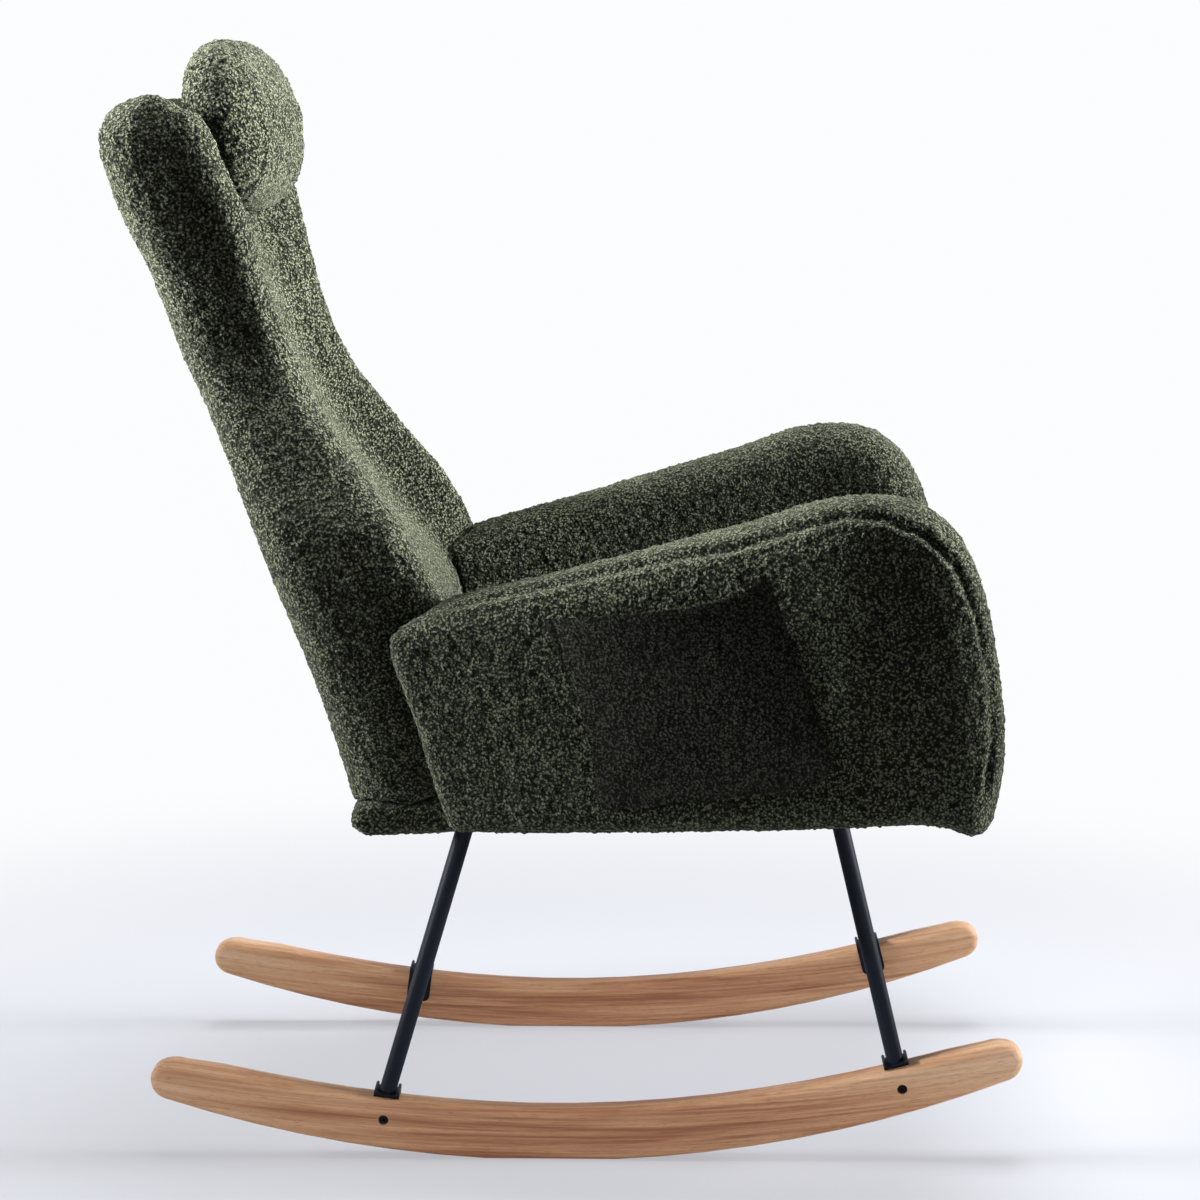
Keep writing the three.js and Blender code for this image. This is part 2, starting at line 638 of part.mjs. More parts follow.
// The seat's cover: one soft box with a low ledge at the rear, which carries the back
function seatForm(grow) {
  const upper = [
    [ledgeStart, ledgeHigh / 2 + 2 * touch], [ledgeStart + ledgeRound / 3, ledgeHigh - ledgeRound / 3],
    [ledgeStart + ledgeRound, ledgeHigh],
    [ledgeLength - grow, ledgeHigh], [ledgeLength + touch - grow, seatHigh],
    [seatLength - seatFrontRound, seatHigh], [seatLength - seatFrontRound / 4, seatHigh - seatFrontRound / 4],
    [seatLength, seatHigh - seatFrontRound],
  ];
  const lower = [
    [ledgeStart, ledgeHigh / 2 - 2 * touch], [ledgeStart + ledgeRound / 3, ledgeRound / 3],
    [ledgeStart + ledgeRound, 0],
    [ledgeLength - grow, 0], [ledgeLength + touch - grow, 0],
    [seatLength - seatFrontRound, 0], [seatLength - seatFrontRound / 4, seatFrontRound / 4],
    [seatLength, seatFrontRound],
  ];
  const outline = [...upper, ...lower.toReversed()].map(([ahead, up]) => new THREE.Vector2(ahead, up));
  const rounds = outline.map(() => seatSideRound);
  const rings = stuffed({
    outline, lowRound: rounds, highRound: rounds, low: -seatHalf, high: seatHalf, grow,
  });
  return skin(rings, (ahead, up, x) => onSeat(x, ahead, up));
}
const cavityHalf = seatHalf - coverWall;
const cavityFront = seatLength - coverWall;
const riser = ledgeLength + coverWall / 2; // where the cavity's roof steps up
const seatCavity = () => join(
  block([-cavityHalf, coverRearWall, -cutOverrun], [cavityHalf, cavityFront, ledgeHigh - coverSkin], onSeat),
  block([-cavityHalf, riser, 0], [cavityHalf, cavityFront, seatHigh - coverSkin], onSeat),
);

// Wooden frame of the seat
const railOuter = cavityHalf - touch;
const railInner = railOuter - railThick;
const railTop = railLift + railHigh;
const railTailTop = railLift + railTailHigh;
const betweenRails = railInner - touch;
const frontRailFrom = cavityFront - touch - railThick;
const rearRailFrom = riser + touch;
function makeSideRail(sign) {
  const profile = [
    [coverRearWall + touch, railLift], [frontRailFrom - touch, railLift], [frontRailFrom - touch, railTop],
    [rearRailFrom, railTop], [rearRailFrom, railTailTop], [coverRearWall + touch, railTailTop],
  ].map(([ahead, up]) => new THREE.Vector2(ahead, up));
  const middle = sign * (railInner + railThick / 2);
  return slab(profile, railThick, (x, ahead, up) => onSeat(middle + x, ahead, up));
}
const makeCrossbar = (foot) => block(
  [-betweenRails, foot.legTop - crossbarWide / 2, railLift],
  [betweenRails, foot.legTop + crossbarWide / 2, railLift + crossbarThick],
  onSeat,
);
const makeFrontRail = () => block(
  [-railOuter, frontRailFrom, railLift],
  [railOuter, frontRailFrom + railThick, railTop],
  onSeat,
);
const makeRearRail = () => block(
  [-betweenRails, rearRailFrom, railLift + crossbarThick + touch],
  [betweenRails, rearRailFrom + rearRailThick, railTop],
  onSeat,
);
const makeDustCover = () => block(
  [-cavityHalf + touch, coverRearWall + touch, dustCoverLift],
  [cavityHalf - touch, cavityFront - touch, dustCoverLift + dustCoverThick],
  onSeat,
);

// A zigzag spring: wire that swings from side to side on its way forward
class ZigzagWire extends THREE.Curve {
  constructor(middle, from, to) {
    super();
    this.middle = middle;
    this.from = from;
    this.to = to;
    this.waves = Math.max(1, Math.round((to - from) / springWave));
  }

  getPoint(share) {
    const ahead = lerp(this.from, this.to, share);
    const swing = Math.sign(this.middle) * springSwing * Math.sin(share * this.waves * 2 * Math.PI);
    return onSeat(this.middle + swing, ahead, railTop + touch + springWire / 2);
  }
}
function makeSpring(which) {
  const middle = springGap * (which - (springCount - 1) / 2);
  const wire = new ZigzagWire(
    middle,
    rearRailFrom + rearRailThick - springOnRail,
    frontRailFrom + springOnRail,
  );
  const section = new THREE.Shape();
  section.absarc(0, 0, springWire / 2, 0, 2 * Math.PI);
  const drawn = new THREE.ExtrudeGeometry(new THREE.Shape(section.getSpacedPoints(springSides).slice(1)), {
    steps: wire.waves * springWaveSteps,
    extrudePath: wire,
  });
  return solid(drawn, (x, y, z) => new THREE.Vector3(x, y, z));
}

// Back: sizes at a height over the body's base
const backColumn = (column, size) => backShares.map((row) => [row[0] * backTop, row[column] * size]);
const leanRows = backColumn(1, backLean);
const halfRows = backColumn(2, backHalf);
const depthRows = backColumn(3, wingDepth);
const panelRows = backColumn(4, lumbarThick);
function backAt(up) {
  return {
    rear: -between(leanRows, up),
    half: between(halfRows, up),
    depth: between(depthRows, up),
    panel: between(panelRows, up),
    valley: wingValley * between(wingValleyShares, up / backTop),
  };
}
// One level of the back as pairs of points (x, ahead) through its thickness, from the middle
// to the right-hand tip: the first of a pair is on the rear and outer face, the other inside.
function backSection(up, grow) {
  const level = backAt(up);
  const rear = level.rear - grow;
  const half = level.half + grow;
  const tip = level.rear + level.depth + grow;
  const ridge = level.half - wingRidgeInset;
  const face = level.rear + level.panel + grow;
  const swell = tip - face;
  const round = backCornerRound;
  const corner = (turn) => [
    half - round + round * Math.sin(turn),
    rear + round - round * Math.cos(turn),
  ];
  const side = (share) => lerp(rear + round, tip, share);
  const tuck = (drop) => tip - Math.min(drop, 0.4 * swell);
  return [
    [[0, rear - backBow], [0, face + panelCrown]],
    [[0.35 * half, rear - 0.8 * backBow], [0.18 * ridge, face + panelCrown]],
    [[0.68 * half, rear - 0.3 * backBow], [0.36 * ridge, face + 0.7 * panelCrown]],
    [corner(0), [0.52 * ridge, face + 0.2 * panelCrown]],
    [corner(Math.PI / 6), [ridge - 2.2 * wingInnerDraw, face]],
    [corner(Math.PI / 3), [ridge - 1.75 * wingInnerDraw, face + 0.03 * swell]],
    [corner(Math.PI / 2), [ridge - 1.3 * wingInnerDraw, face + 0.12 * swell]],
    [[half + backBow / 3 - level.valley, side(0.4)], [ridge - wingInnerDraw, face + 0.3 * swell]],
    [[half - backBow / 2 - level.valley / 3, side(0.72)], [ridge - 0.84 * wingInnerDraw, face + 0.5 * swell]],
    [[ridge + 0.75 * wingRidgeInset, tip - wingRidgeInset * 0.45], [ridge - 0.7 * wingInnerDraw, tuck(26)]],
    [[ridge + 0.42 * wingRidgeInset, tip - wingRidgeInset * 0.13], [ridge - 0.54 * wingInnerDraw, tuck(13)]],
    [[ridge, tip], [ridge - 0.28 * wingInnerDraw, tuck(4)]],
  ];
}
// All levels of the back from its foot to its crest. The crest rounds over and goes on leaning.
function backLevels(grow) {
  const raised = (pairs, upOf) => pairs.map((pair, i) =>
    pair.map(([x, ahead]) => new THREE.Vector3(x, ahead, upOf(i))));
  const levels = backShares.slice(1).map(([share]) =>
    raised(backSection(share * backTop, grow), () => share * backTop));
  const brow = backShares.at(-1)[0] * backTop;
  const level = backAt(brow);
  const pairs = backSection(brow, grow);
  const depths = pairs.map(([outer, inner]) => ((outer[1] + inner[1]) / 2 - level.rear) / level.depth);
  const [under, over] = leanRows.slice(-2);
  const lean = (over[1] - under[1]) / (over[0] - under[0]);
  const crestUp = (i) => backTop + grow - crestDrop * (2 * depths[i] - 1) ** 2;
  for (const turn of crestTurns) {
    const drawn = pairs.map((pair, i) => {
      const middle = (pair[0][0] + pair[1][0]) / 2;
      const depth = lerp(1 / 4, depths[i], crestDrawShare);
      const shift = lean * (crestUp(i) - brow) * Math.sin(turn);
      return pair.map(([x, ahead]) => [
        lerp(middle, x, Math.cos(turn)),
        lerp(level.rear + level.depth * depth, ahead - shift, Math.cos(turn)),
      ]);
    });
    levels.push(raised(drawn, (i) => lerp(brow, crestUp(i), Math.sin(turn))));
  }
  return levels;
}
function backForm(grow = 0) {
  const rings = backLevels(grow).map((pairs) => {
    const half = (which, sign) => pairs.map((pair) =>
      pair[which].clone().multiply(new THREE.Vector3(sign, 1, 1)));
    return [
      ...half(0, -1).reverse(), ...half(0, 1).slice(1),
      ...half(1, 1).reverse(), ...half(1, -1).slice(1),
    ];
  });
  return skin(rings, fromBase);
}

// A board inside the back: its edges follow the back, so it has a ring at each row that it passes
function backBoard(fromUp, toUp, edges, grow) {
  const rows = backShares.map(([share]) => share * backTop).filter((up) => up > fromUp && up < toUp);
  const levels = [fromUp, ...rows, toUp];
  const rings = levels.map((up, i) => {
    const { low, high, back, front } = edges(backAt(up));
    const extra = { 0: -grow, [levels.length - 1]: grow }[i] ?? 0;
    return [[low - grow, back - grow], [high + grow, back - grow], [high + grow, front + grow],
      [low - grow, front + grow]].map(([x, ahead]) => new THREE.Vector3(x, ahead, up + extra));
  });
  return skin(rings, fromBase);
}
const stileFront = (level) => level.rear + stileRearCover + stileDeep;
const stileInner = (level) => level.half - stileInset - stileWide;
const stileFoot = bodySink + railLift + 2 * touch + (coverRearWall + 2 * stileDeep) * Math.tan(seatTilt);
const makeStile = (sign, grow = 0) => backBoard(stileFoot, stileTopShare * backTop, (level) => {
  const outer = sign * (level.half - stileInset);
  const inner = sign * stileInner(level);
  return {
    low: Math.min(outer, inner),
    high: Math.max(outer, inner),
    back: level.rear + stileRearCover,
    front: stileFront(level),
  };
}, grow);
const makeBackRail = (share, grow = 0) =>
  backBoard(share * backTop, share * backTop + backRailHigh, (level) => ({
    low: -(stileInner(level) - touch),
    high: stileInner(level) - touch,
    back: level.rear + stileRearCover + (stileDeep - backRailThick) / 2,
    front: level.rear + stileRearCover + (stileDeep + backRailThick) / 2,
  }), grow);
const makeWingBoard = (sign, grow = 0) =>
  backBoard(wingBoardShares[0] * backTop, wingBoardShares[1] * backTop, (level) => {
    const outer = sign * (level.half - stileInset + wingBoardThick);
    const inner = sign * (level.half - stileInset);
    return {
      low: Math.min(outer, inner),
      high: Math.max(outer, inner),
      back: level.rear + stileRearCover,
      front: level.rear + level.depth - wingBoardCover,
    };
  }, grow);
const makeWebbing = (share, grow = 0) =>
  backBoard(share * backTop, share * backTop + webbingHigh, (level) => ({
    low: -(level.half - stileInset - webbingSideGap),
    high: level.half - stileInset - webbingSideGap,
    back: stileFront(level) + touch,
    front: stileFront(level) + touch + webbingThick,
  }), grow);
// The sill ties the stiles together in the seat's ledge
function makeSill() {
  const foot = backAt(stileFoot);
  const half = stileInner(backAt(railTailTop)) - 3 * touch;
  const from = foot.rear + stileRearCover;
  return block([-half, from, railLift], [half, from + stileDeep, railTailTop], onSeat);
}

// Arms: an arm's middle stands further out towards the front
const armFlare = [
  [armRear, armSpreadRear],
  [armRear + armMiddleShare * armLength, armSpreadMiddle],
  [armRear + armFrontShare * armLength, armSpreadFront],
];
const armSpreadAt = (ahead) => between(armFlare, ahead);
const armAhead = (share) => armRear + share * armLength;
const armUp = (share) => armBottom + share * armHigh;
const armPlace = (sign) => (ahead, up, out) => fromBase(sign * (armSpreadAt(ahead) + out), ahead, up);
function smooth(points, stepsEach) {
  return new THREE.SplineCurve(points).getPoints((points.length - 1) * stepsEach);
}
function armForm(sign) {
  const stepsEach = 2;
  const top = smooth(armShares.map((row) => new THREE.Vector2(armAhead(row[0]), armUp(row[1]))), stepsEach);
  const bottom = smooth(armShares.map((row) => new THREE.Vector2(armAhead(row[2]), armUp(row[3]))), stepsEach);
  const roundsOf = (shares) => smooth(shares.map((share, i) => new THREE.Vector2(i, share)), stepsEach)
    .map((point) => point.y * armRound);
  const rounds = [...roundsOf(armTopRoundShares), ...roundsOf(armBottomRoundShares).reverse()];
  const rings = stuffed({
    outline: [...top, ...bottom.reverse()],
    lowRound: rounds,
    highRound: rounds,
    low: -armThick / 2,
    high: armThick / 2,
    steps: 4,
  });
  return skin(rings, armPlace(sign));
}
// The arm's top and bottom line at a share of its length, where the outline is a plain band
function armEdges(share) {
  const band = armShares.slice(4, 11);
  return {
    top: armUp(between(band.map((row) => [row[0], row[1]]), share)),
    bottom: armUp(between(band.map((row) => [row[2], row[3]]), share)),
  };
}
const panelOuter = armThick / 2 - armPanelCover;
const panelInner = panelOuter - armPanelThick;
function makeArmPanel(sign, grow = 0) {
  const lastStation = armPanelShares.length - 1;
  const line = (edge, cover, away) => armPanelShares.map((share, i) => {
    const extra = { 0: -grow, [lastStation]: grow }[i] ?? 0;
    return new THREE.Vector2(armAhead(share) + extra, armEdges(share)[edge] + cover + away * grow);
  });
  const outline = [
    ...line('top', -armPanelTopCover, 1),
    ...line('bottom', armPanelBottomCover, -1).reverse(),
  ];
  const rings = [panelInner - grow, panelOuter + grow].map((out) =>
    outline.map((point) => new THREE.Vector3(point.x, point.y, out)));
  return skin(rings, armPlace(sign));
}
function makeArmBlock(sign, grow = 0) {
  const rings = armBlockShares.map((share, i) => {
    const ahead = armAhead(share) + (i === 0 ? -grow : grow);
    const low = bodySink + armBlockLift + ahead * Math.tan(seatTilt) - grow;
    const high = low + armBlockHigh + 2 * grow;
    const outer = armSpreadAt(armAhead(share)) + panelInner - touch + grow;
    const inner = seatHalf + touch - grow;
    return [[inner, low], [outer, low], [outer, high], [inner, high]].map(([x, up]) =>
      new THREE.Vector3(sign * x, ahead, up));
  });
  return skin(rings, fromBase);
}

// Pocket: a pouch sewn to the arm's outer face along three edges, deepest at its open top
function makePocket(sign) {
  const onArm = ([along, high]) => new THREE.Vector2(armAhead(along), armUp(high));
  const edge = pocketEdgeShares.map(onArm);
  const outline = [...edge, ...pocketMouthShares.map(onArm)];
  const into = inwards(outline);
  const inside = edge.map((point, i) => point.clone().addScaledVector(into[i], pocketSeam));
  const lift = new THREE.Vector2(0, cutOverrun);
  const hollow = [
    edge[0].clone().add(new THREE.Vector2(pocketSeam, cutOverrun)),
    ...inside.slice(1, -1),
    edge.at(-1).clone().add(new THREE.Vector2(-pocketSeam, cutOverrun)),
    ...pocketMouthShares.map(onArm).map((point) => point.add(lift)),
  ];
  const bottom = armUp(pocketEdgeShares[3][1]);
  const mouth = armUp(pocketEdgeShares.at(-1)[1]);
  const place = (inset) => (x, ahead, up) => {
    const depth = lerp(pocketTaperShare, 1, (up - bottom) / (mouth - bottom));
    return armPlace(sign)(ahead, up, armThick / 2 + touch - inset + (x + pocketDepth / 2) * depth);
  };
  return cut(slab(outline, pocketDepth, place(0)), slab(hollow, pocketDepth, place(pocketSheet)));
}

// Seat cushion: it fills the seat between the arms and runs back to the back's face
const cushionShares = [
  [0.3, 0], [0.65, 0], [0.9, 0.01], [1, 0.05], [1, 0.2], [0.99, 0.4], [0.985, 0.6], [0.99, 0.78],
  [0.985, 0.88], [0.95, 0.955], [0.86, 0.99], [0.6, 1], [0.3, 1.003],
];
function cushionForm() {
  const length = seatLength + cushionOverhang - ledgeLength;
  const half = (ahead) => armSpreadAt(ahead) - armThick / 2 - cushionArmGap;
  const right = cushionShares.map(([wide, along]) => {
    const ahead = ledgeLength + along * length;
    return new THREE.Vector2(wide * half(ahead), ahead);
  });
  const outline = mirrored(right);
  const rings = stuffed({
    outline,
    lowRound: outline.map(() => cushionBottomRound),
    highRound: outline.map(() => cushionTopRound),
    low: seatHigh + touch,
    high: seatHigh + touch + cushionHigh,
    crown: cushionCrown,
  });
  return skin(rings, onSeat);
}

// Head pillow: it lies on the back's straight upper face and slides down along it
const pillowTop = pillowMiddle + pillowHigh / 2;
const slideFrom = pillowMiddle - pillowHigh / 2 - pillowTravel;
const faceAt = (up) => {
  const level = backAt(up);
  return level.rear + level.panel + panelCrown;
};
const slideTo = backShares.at(-1)[0] * backTop;
const slideLean = Math.atan2(faceAt(slideFrom) - faceAt(slideTo), slideTo - slideFrom);
function makePillow() {
  const face = backLevels(0).map((pairs) => pairs[0][1]).filter((spot) => spot.z >= slideFrom);
  const heights = face.map((spot) =>
    (spot.y - faceAt(slideTo)) * Math.cos(slideLean) + (spot.z - slideTo) * Math.sin(slideLean));
  const clearance = Math.max(...heights) + touch;
  const place = turned(0, seatRear + faceAt(slideTo), bodyBase + slideTo, slideLean);
  const middle = (pillowMiddle - slideTo) / Math.cos(slideLean);
  const round = (value) => Math.sign(value) * Math.abs(value) ** (2 / pillowSquareness);
  const upper = Array.from({ length: pillowPoints }, (_, i) => {
    const turn = Math.PI * ((i + 1 / 2) / pillowPoints);
    return new THREE.Vector2(
      pillowHalf * round(Math.cos(turn)),
      (pillowHigh / 2) * round(Math.sin(turn)),
    );
  });
  const lower = upper.toReversed().map((point) => new THREE.Vector2(point.x, -point.y));
  const outline = [...upper, ...lower];
  const rounds = outline.map(() => pillowRound);
  const rings = stuffed({
    outline,
    lowRound: rounds,
    highRound: rounds,
    low: 0,
    high: pillowThick - pillowCrown,
    crown: pillowCrown,
    steps: 4,
    inset: pillowInset,
  });
  const [steep, level] = [Math.sin(pillowUpright), Math.cos(pillowUpright)];
  const stood = rings.map((ring) => ring.map(({ x, y, z }) =>
    new THREE.Vector3(x, y * level - z * steep, z * level + y * steep)));
  const lowest = Math.min(...stood.flat().map((point) => point.z));
  return skin(stood, (x, along, away) => place(x, clearance - lowest + away, middle + along));
}

// Wooden runners, their brackets, legs, plates and bolts
for (const { side, sign } of sides) {
  add(`runner_${side}`, makeRunner(sign), runnerWood);
  for (const foot of feet) {
    const name = `${foot.end}_${side}`;
    add(`foot_bracket_${name}`, makeBracket(foot, sign), blackSteel);
    add(`leg_tube_${name}`, makeLeg(foot, sign), blackSteel);
    add(`leg_plate_${name}`, makePlate(foot, sign), blackSteel);
    const boltPlace = runnerBoltPlace(sign, footPlace(foot, sign));
    add(`runner_bolt_${name}`, screw(runnerBolt, runnerShank, boltPlace), blackSteel);
    for (const which of plateBoltSpots) {
      const place = plateBoltPlace(foot, sign, which);
      const order = which < 0 ? 'a' : 'b';
      add(`plate_bolt_${name}_${order}`, screw(plateBolt, plateBoltLength, place), blackSteel);
    }
  }
}

// Seat
const shankHoles = allShankHoles();
const stiles = (grow) => sides.map(({ sign }) => makeStile(sign, grow));
add('seat_cover', cut(seatForm(0), seatCavity(), ...stiles(frameFit)), boucle);
add('front_rail', makeFrontRail(), frameWood);
add('rear_rail', cut(makeRearRail(), ...shankHoles), frameWood);
for (const { side, sign } of sides) {
  add(`side_rail_${side}`, makeSideRail(sign), frameWood);
}
for (const foot of feet) {
  add(`crossbar_${foot.end}`, cut(makeCrossbar(foot), ...shankHoles), frameWood);
}
for (let which = 0; which < springCount; which += 1) {
  add(`seat_spring_${which + 1}`, makeSpring(which), springSteel);
}
add('dust_cover', cut(makeDustCover(), ...shankHoles), blackCloth);
add('seat_cushion', cut(cushionForm(), backForm(touch)), boucle);

// Back
const backFrame = (grow) => [
  ...stiles(grow),
  ...backRailShares.map((share) => makeBackRail(share, grow)),
  ...webbingShares.map((share) => makeWebbing(share, grow)),
  ...sides.map(({ sign }) => makeWingBoard(sign, grow)),
];
add('back', cut(backForm(), seatForm(touch), ...backFrame(frameFit)), boucle);
add('back_sill', makeSill(), frameWood);
for (const { side, sign } of sides) {
  add(`back_stile_${side}`, makeStile(sign), frameWood);
  add(`wing_board_${side}`, cut(makeWingBoard(sign), makeStile(sign, touch)), frameWood);
}
backRailShares.forEach((share, i) => add(`back_rail_${i + 1}`, makeBackRail(share), frameWood));
webbingShares.forEach((share, i) => add(`back_webbing_${i + 1}`, makeWebbing(share), blackCloth));
add('head_pillow', makePillow(), boucle);

// Arms
for (const { side, sign } of sides) {
  const panel = makeArmPanel(sign, frameFit);
  const tie = makeArmBlock(sign, frameFit);
  add(`arm_${side}`, cut(armForm(sign), seatForm(touch), backForm(touch), panel, tie), boucle);
  add(`arm_panel_${side}`, makeArmPanel(sign), frameWood);
  add(`arm_block_${side}`, makeArmBlock(sign), frameWood);
  add(`pocket_${side}`, makePocket(sign), pocketCloth);
}

// The chair's origin is on the floor, under the middle of its outline
const middle = new THREE.Box3().setFromObject(chair).getCenter(new THREE.Vector3());
chair.position.set(0, -middle.y, 0);

export default chair;
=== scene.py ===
# %% [markdown]
# # A wing-back rocking chair
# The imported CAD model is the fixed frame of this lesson: its steel, wood and bolts stay as they
# are and only get their finishes, while each soft part is modelled again as padded cloth around
# the solid that it stands for. Lengths are metres, +Z is up and the sitter faces -Y.

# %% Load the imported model
import json
import math

import bpy
import numpy as np
from mathutils import Matrix, Vector


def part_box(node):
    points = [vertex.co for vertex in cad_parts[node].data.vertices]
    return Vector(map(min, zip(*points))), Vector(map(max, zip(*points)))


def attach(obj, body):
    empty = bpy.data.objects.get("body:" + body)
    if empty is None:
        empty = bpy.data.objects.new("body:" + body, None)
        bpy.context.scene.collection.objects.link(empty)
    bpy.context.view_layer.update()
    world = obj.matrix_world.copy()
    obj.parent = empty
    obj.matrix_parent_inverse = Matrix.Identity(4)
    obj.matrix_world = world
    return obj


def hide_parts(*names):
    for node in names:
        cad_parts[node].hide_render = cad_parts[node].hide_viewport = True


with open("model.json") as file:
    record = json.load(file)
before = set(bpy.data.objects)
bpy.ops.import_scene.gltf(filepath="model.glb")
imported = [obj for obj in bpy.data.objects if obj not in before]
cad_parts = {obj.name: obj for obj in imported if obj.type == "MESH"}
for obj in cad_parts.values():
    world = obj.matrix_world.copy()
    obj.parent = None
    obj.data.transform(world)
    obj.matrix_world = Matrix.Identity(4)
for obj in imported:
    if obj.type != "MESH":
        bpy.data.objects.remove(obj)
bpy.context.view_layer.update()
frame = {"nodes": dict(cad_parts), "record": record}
nodes = frame["nodes"]
contact_y = frame["record"]["mounts"][0]["pos_m"][1]  # where the runners touch the floor

# %% [markdown]
# ## Camera
# The photograph was taken from the chair's right with a long lens, a little above the seat and
# turned slightly down. A camera can be aimed with a constraint or by its own axes. The axes are
# written out here, because they were worked out from the two runners in the picture.

# %% Camera
camera_place = Vector((-3.0589, -0.0904, 0.9864))
camera_drop = math.radians(9.0814)
camera_swing = math.radians(1.1819)
camera_lens = 94.21

view_forward = Vector((
    math.cos(camera_swing) * math.cos(camera_drop),
    math.sin(camera_swing) * math.cos(camera_drop),
    -math.sin(camera_drop),
))
view_right = Vector((math.sin(camera_swing), -math.cos(camera_swing), 0))
view_up = view_right.cross(view_forward)
bpy.ops.object.select_all(action="DESELECT")
bpy.ops.object.camera_add(location=camera_place)
camera = bpy.context.object
camera.rotation_euler = Matrix((view_right, view_up, -view_forward)).transposed().to_euler()
camera.data.lens = camera_lens
camera.data.sensor_width = 36
bpy.context.scene.camera = camera
print("camera", [round(value, 3) for value in camera.location])

# %% [markdown]
# ## Shader maths
# A procedural material is a sum of small number patterns. Adding a Math node for every plus and
# times by hand is slow to write and hard to read, so one small class wraps a node's output and
# lets Python's own operators add the nodes. A second class holds a material and makes any other
# node in one call.

# %% A number that varies over a surface
class Amount:
    def __init__(self, finish, socket):
        self.finish = finish
        self.socket = socket

    def _math(self, operation, *values):
        node = self.finish.node("ShaderNodeMath", {"operation": operation}, dict(enumerate(values)))
        return Amount(self.finish, node.outputs[0])

    def __add__(self, other):
        return self._math("ADD", self, other)

    __radd__ = __add__

    def __mul__(self, other):
        return self._math("MULTIPLY", self, other)

    __rmul__ = __mul__

    def __sub__(self, other):
        return self._math("SUBTRACT", self, other)

    def __rsub__(self, other):
        return self._math("SUBTRACT", other, self)

    def __truediv__(self, other):
        return self._math("DIVIDE", self, other)

    def __pow__(self, other):
        return self._math("POWER", self, other)

    def size(self):
        return self._math("ABSOLUTE", self)

    def most(self, other):
        return self._math("MAXIMUM", self, other)

    def over(self, low, high):
        """0 below low, 1 above high, and even between them."""
        node = self.finish.node("ShaderNodeMapRange", {"interpolation_type": "SMOOTHSTEP"}, {
            "Value": self, "From Min": low, "From Max": high,
        })
        return Amount(self.finish, node.outputs[0])


class Finish:
    """A material: its nodes and the surface shader that they feed."""

    def __init__(self, name, **constants):
        self.material = bpy.data.materials.new(name)
        self.material.use_nodes = True
        self.tree = self.material.node_tree
        self.tree.nodes.clear()
        self.surface = self.node("ShaderNodeBsdfPrincipled", {}, {
            key.replace("_", " "): value for key, value in constants.items()
        })
        self.end = self.node("ShaderNodeOutputMaterial", {}, {"Surface": self.surface.outputs[0]})
        self.place = self.node("ShaderNodeTexCoord").outputs["Object"]

    def node(self, kind, settings=None, sockets=None):
        node = self.tree.nodes.new(kind)
        for key, value in (settings or {}).items():
            if key == "stops":
                ramp = node.color_ramp
                while len(ramp.elements) < len(value):
                    ramp.elements.new(0.5)
                for element, (position, colour) in zip(ramp.elements, value):
                    element.position = position
                    element.color = (*colour, 1)
            else:
                setattr(node, key, value)
        for key, value in (sockets or {}).items():
            self.feed(node.inputs[key], value)
        return node

    def feed(self, socket, value):
        if isinstance(value, Amount):
            value = value.socket
        if isinstance(value, bpy.types.NodeSocket):
            self.tree.links.new(value, socket)
        elif socket.type == "RGBA":
            socket.default_value = (*value, 1)
        else:
            socket.default_value = value

    def amount(self, kind, settings=None, sockets=None, output=0):
        return Amount(self, self.node(kind, settings, sockets).outputs[output])

    def noise(self, scale, detail=2, roughness=0.5, place=None, distortion=0):
        return self.amount("ShaderNodeTexNoise", {}, {
            "Vector": place or self.place, "Scale": scale, "Detail": detail,
            "Roughness": roughness, "Distortion": distortion,
        })

    def mix(self, share, one, other):
        node = self.node("ShaderNodeMix", {"data_type": "RGBA"}, {0: share, 6: one, 7: other})
        return node.outputs[2]

    def paint(self, colour):
        self.feed(self.surface.inputs["Base Color"], colour)

    def rough(self, amount):
        self.feed(self.surface.inputs["Roughness"], amount)

    def bump(self, height, depth, strength=1):
        node = self.node("ShaderNodeBump", {}, {
            "Strength": strength, "Distance": depth, "Height": height,
        })
        self.feed(self.surface.inputs["Normal"], node.outputs[0])


def dress(piece, finish):
    piece.data.materials.clear()
    piece.data.materials.append(finish.material)


print("shader classes ready")
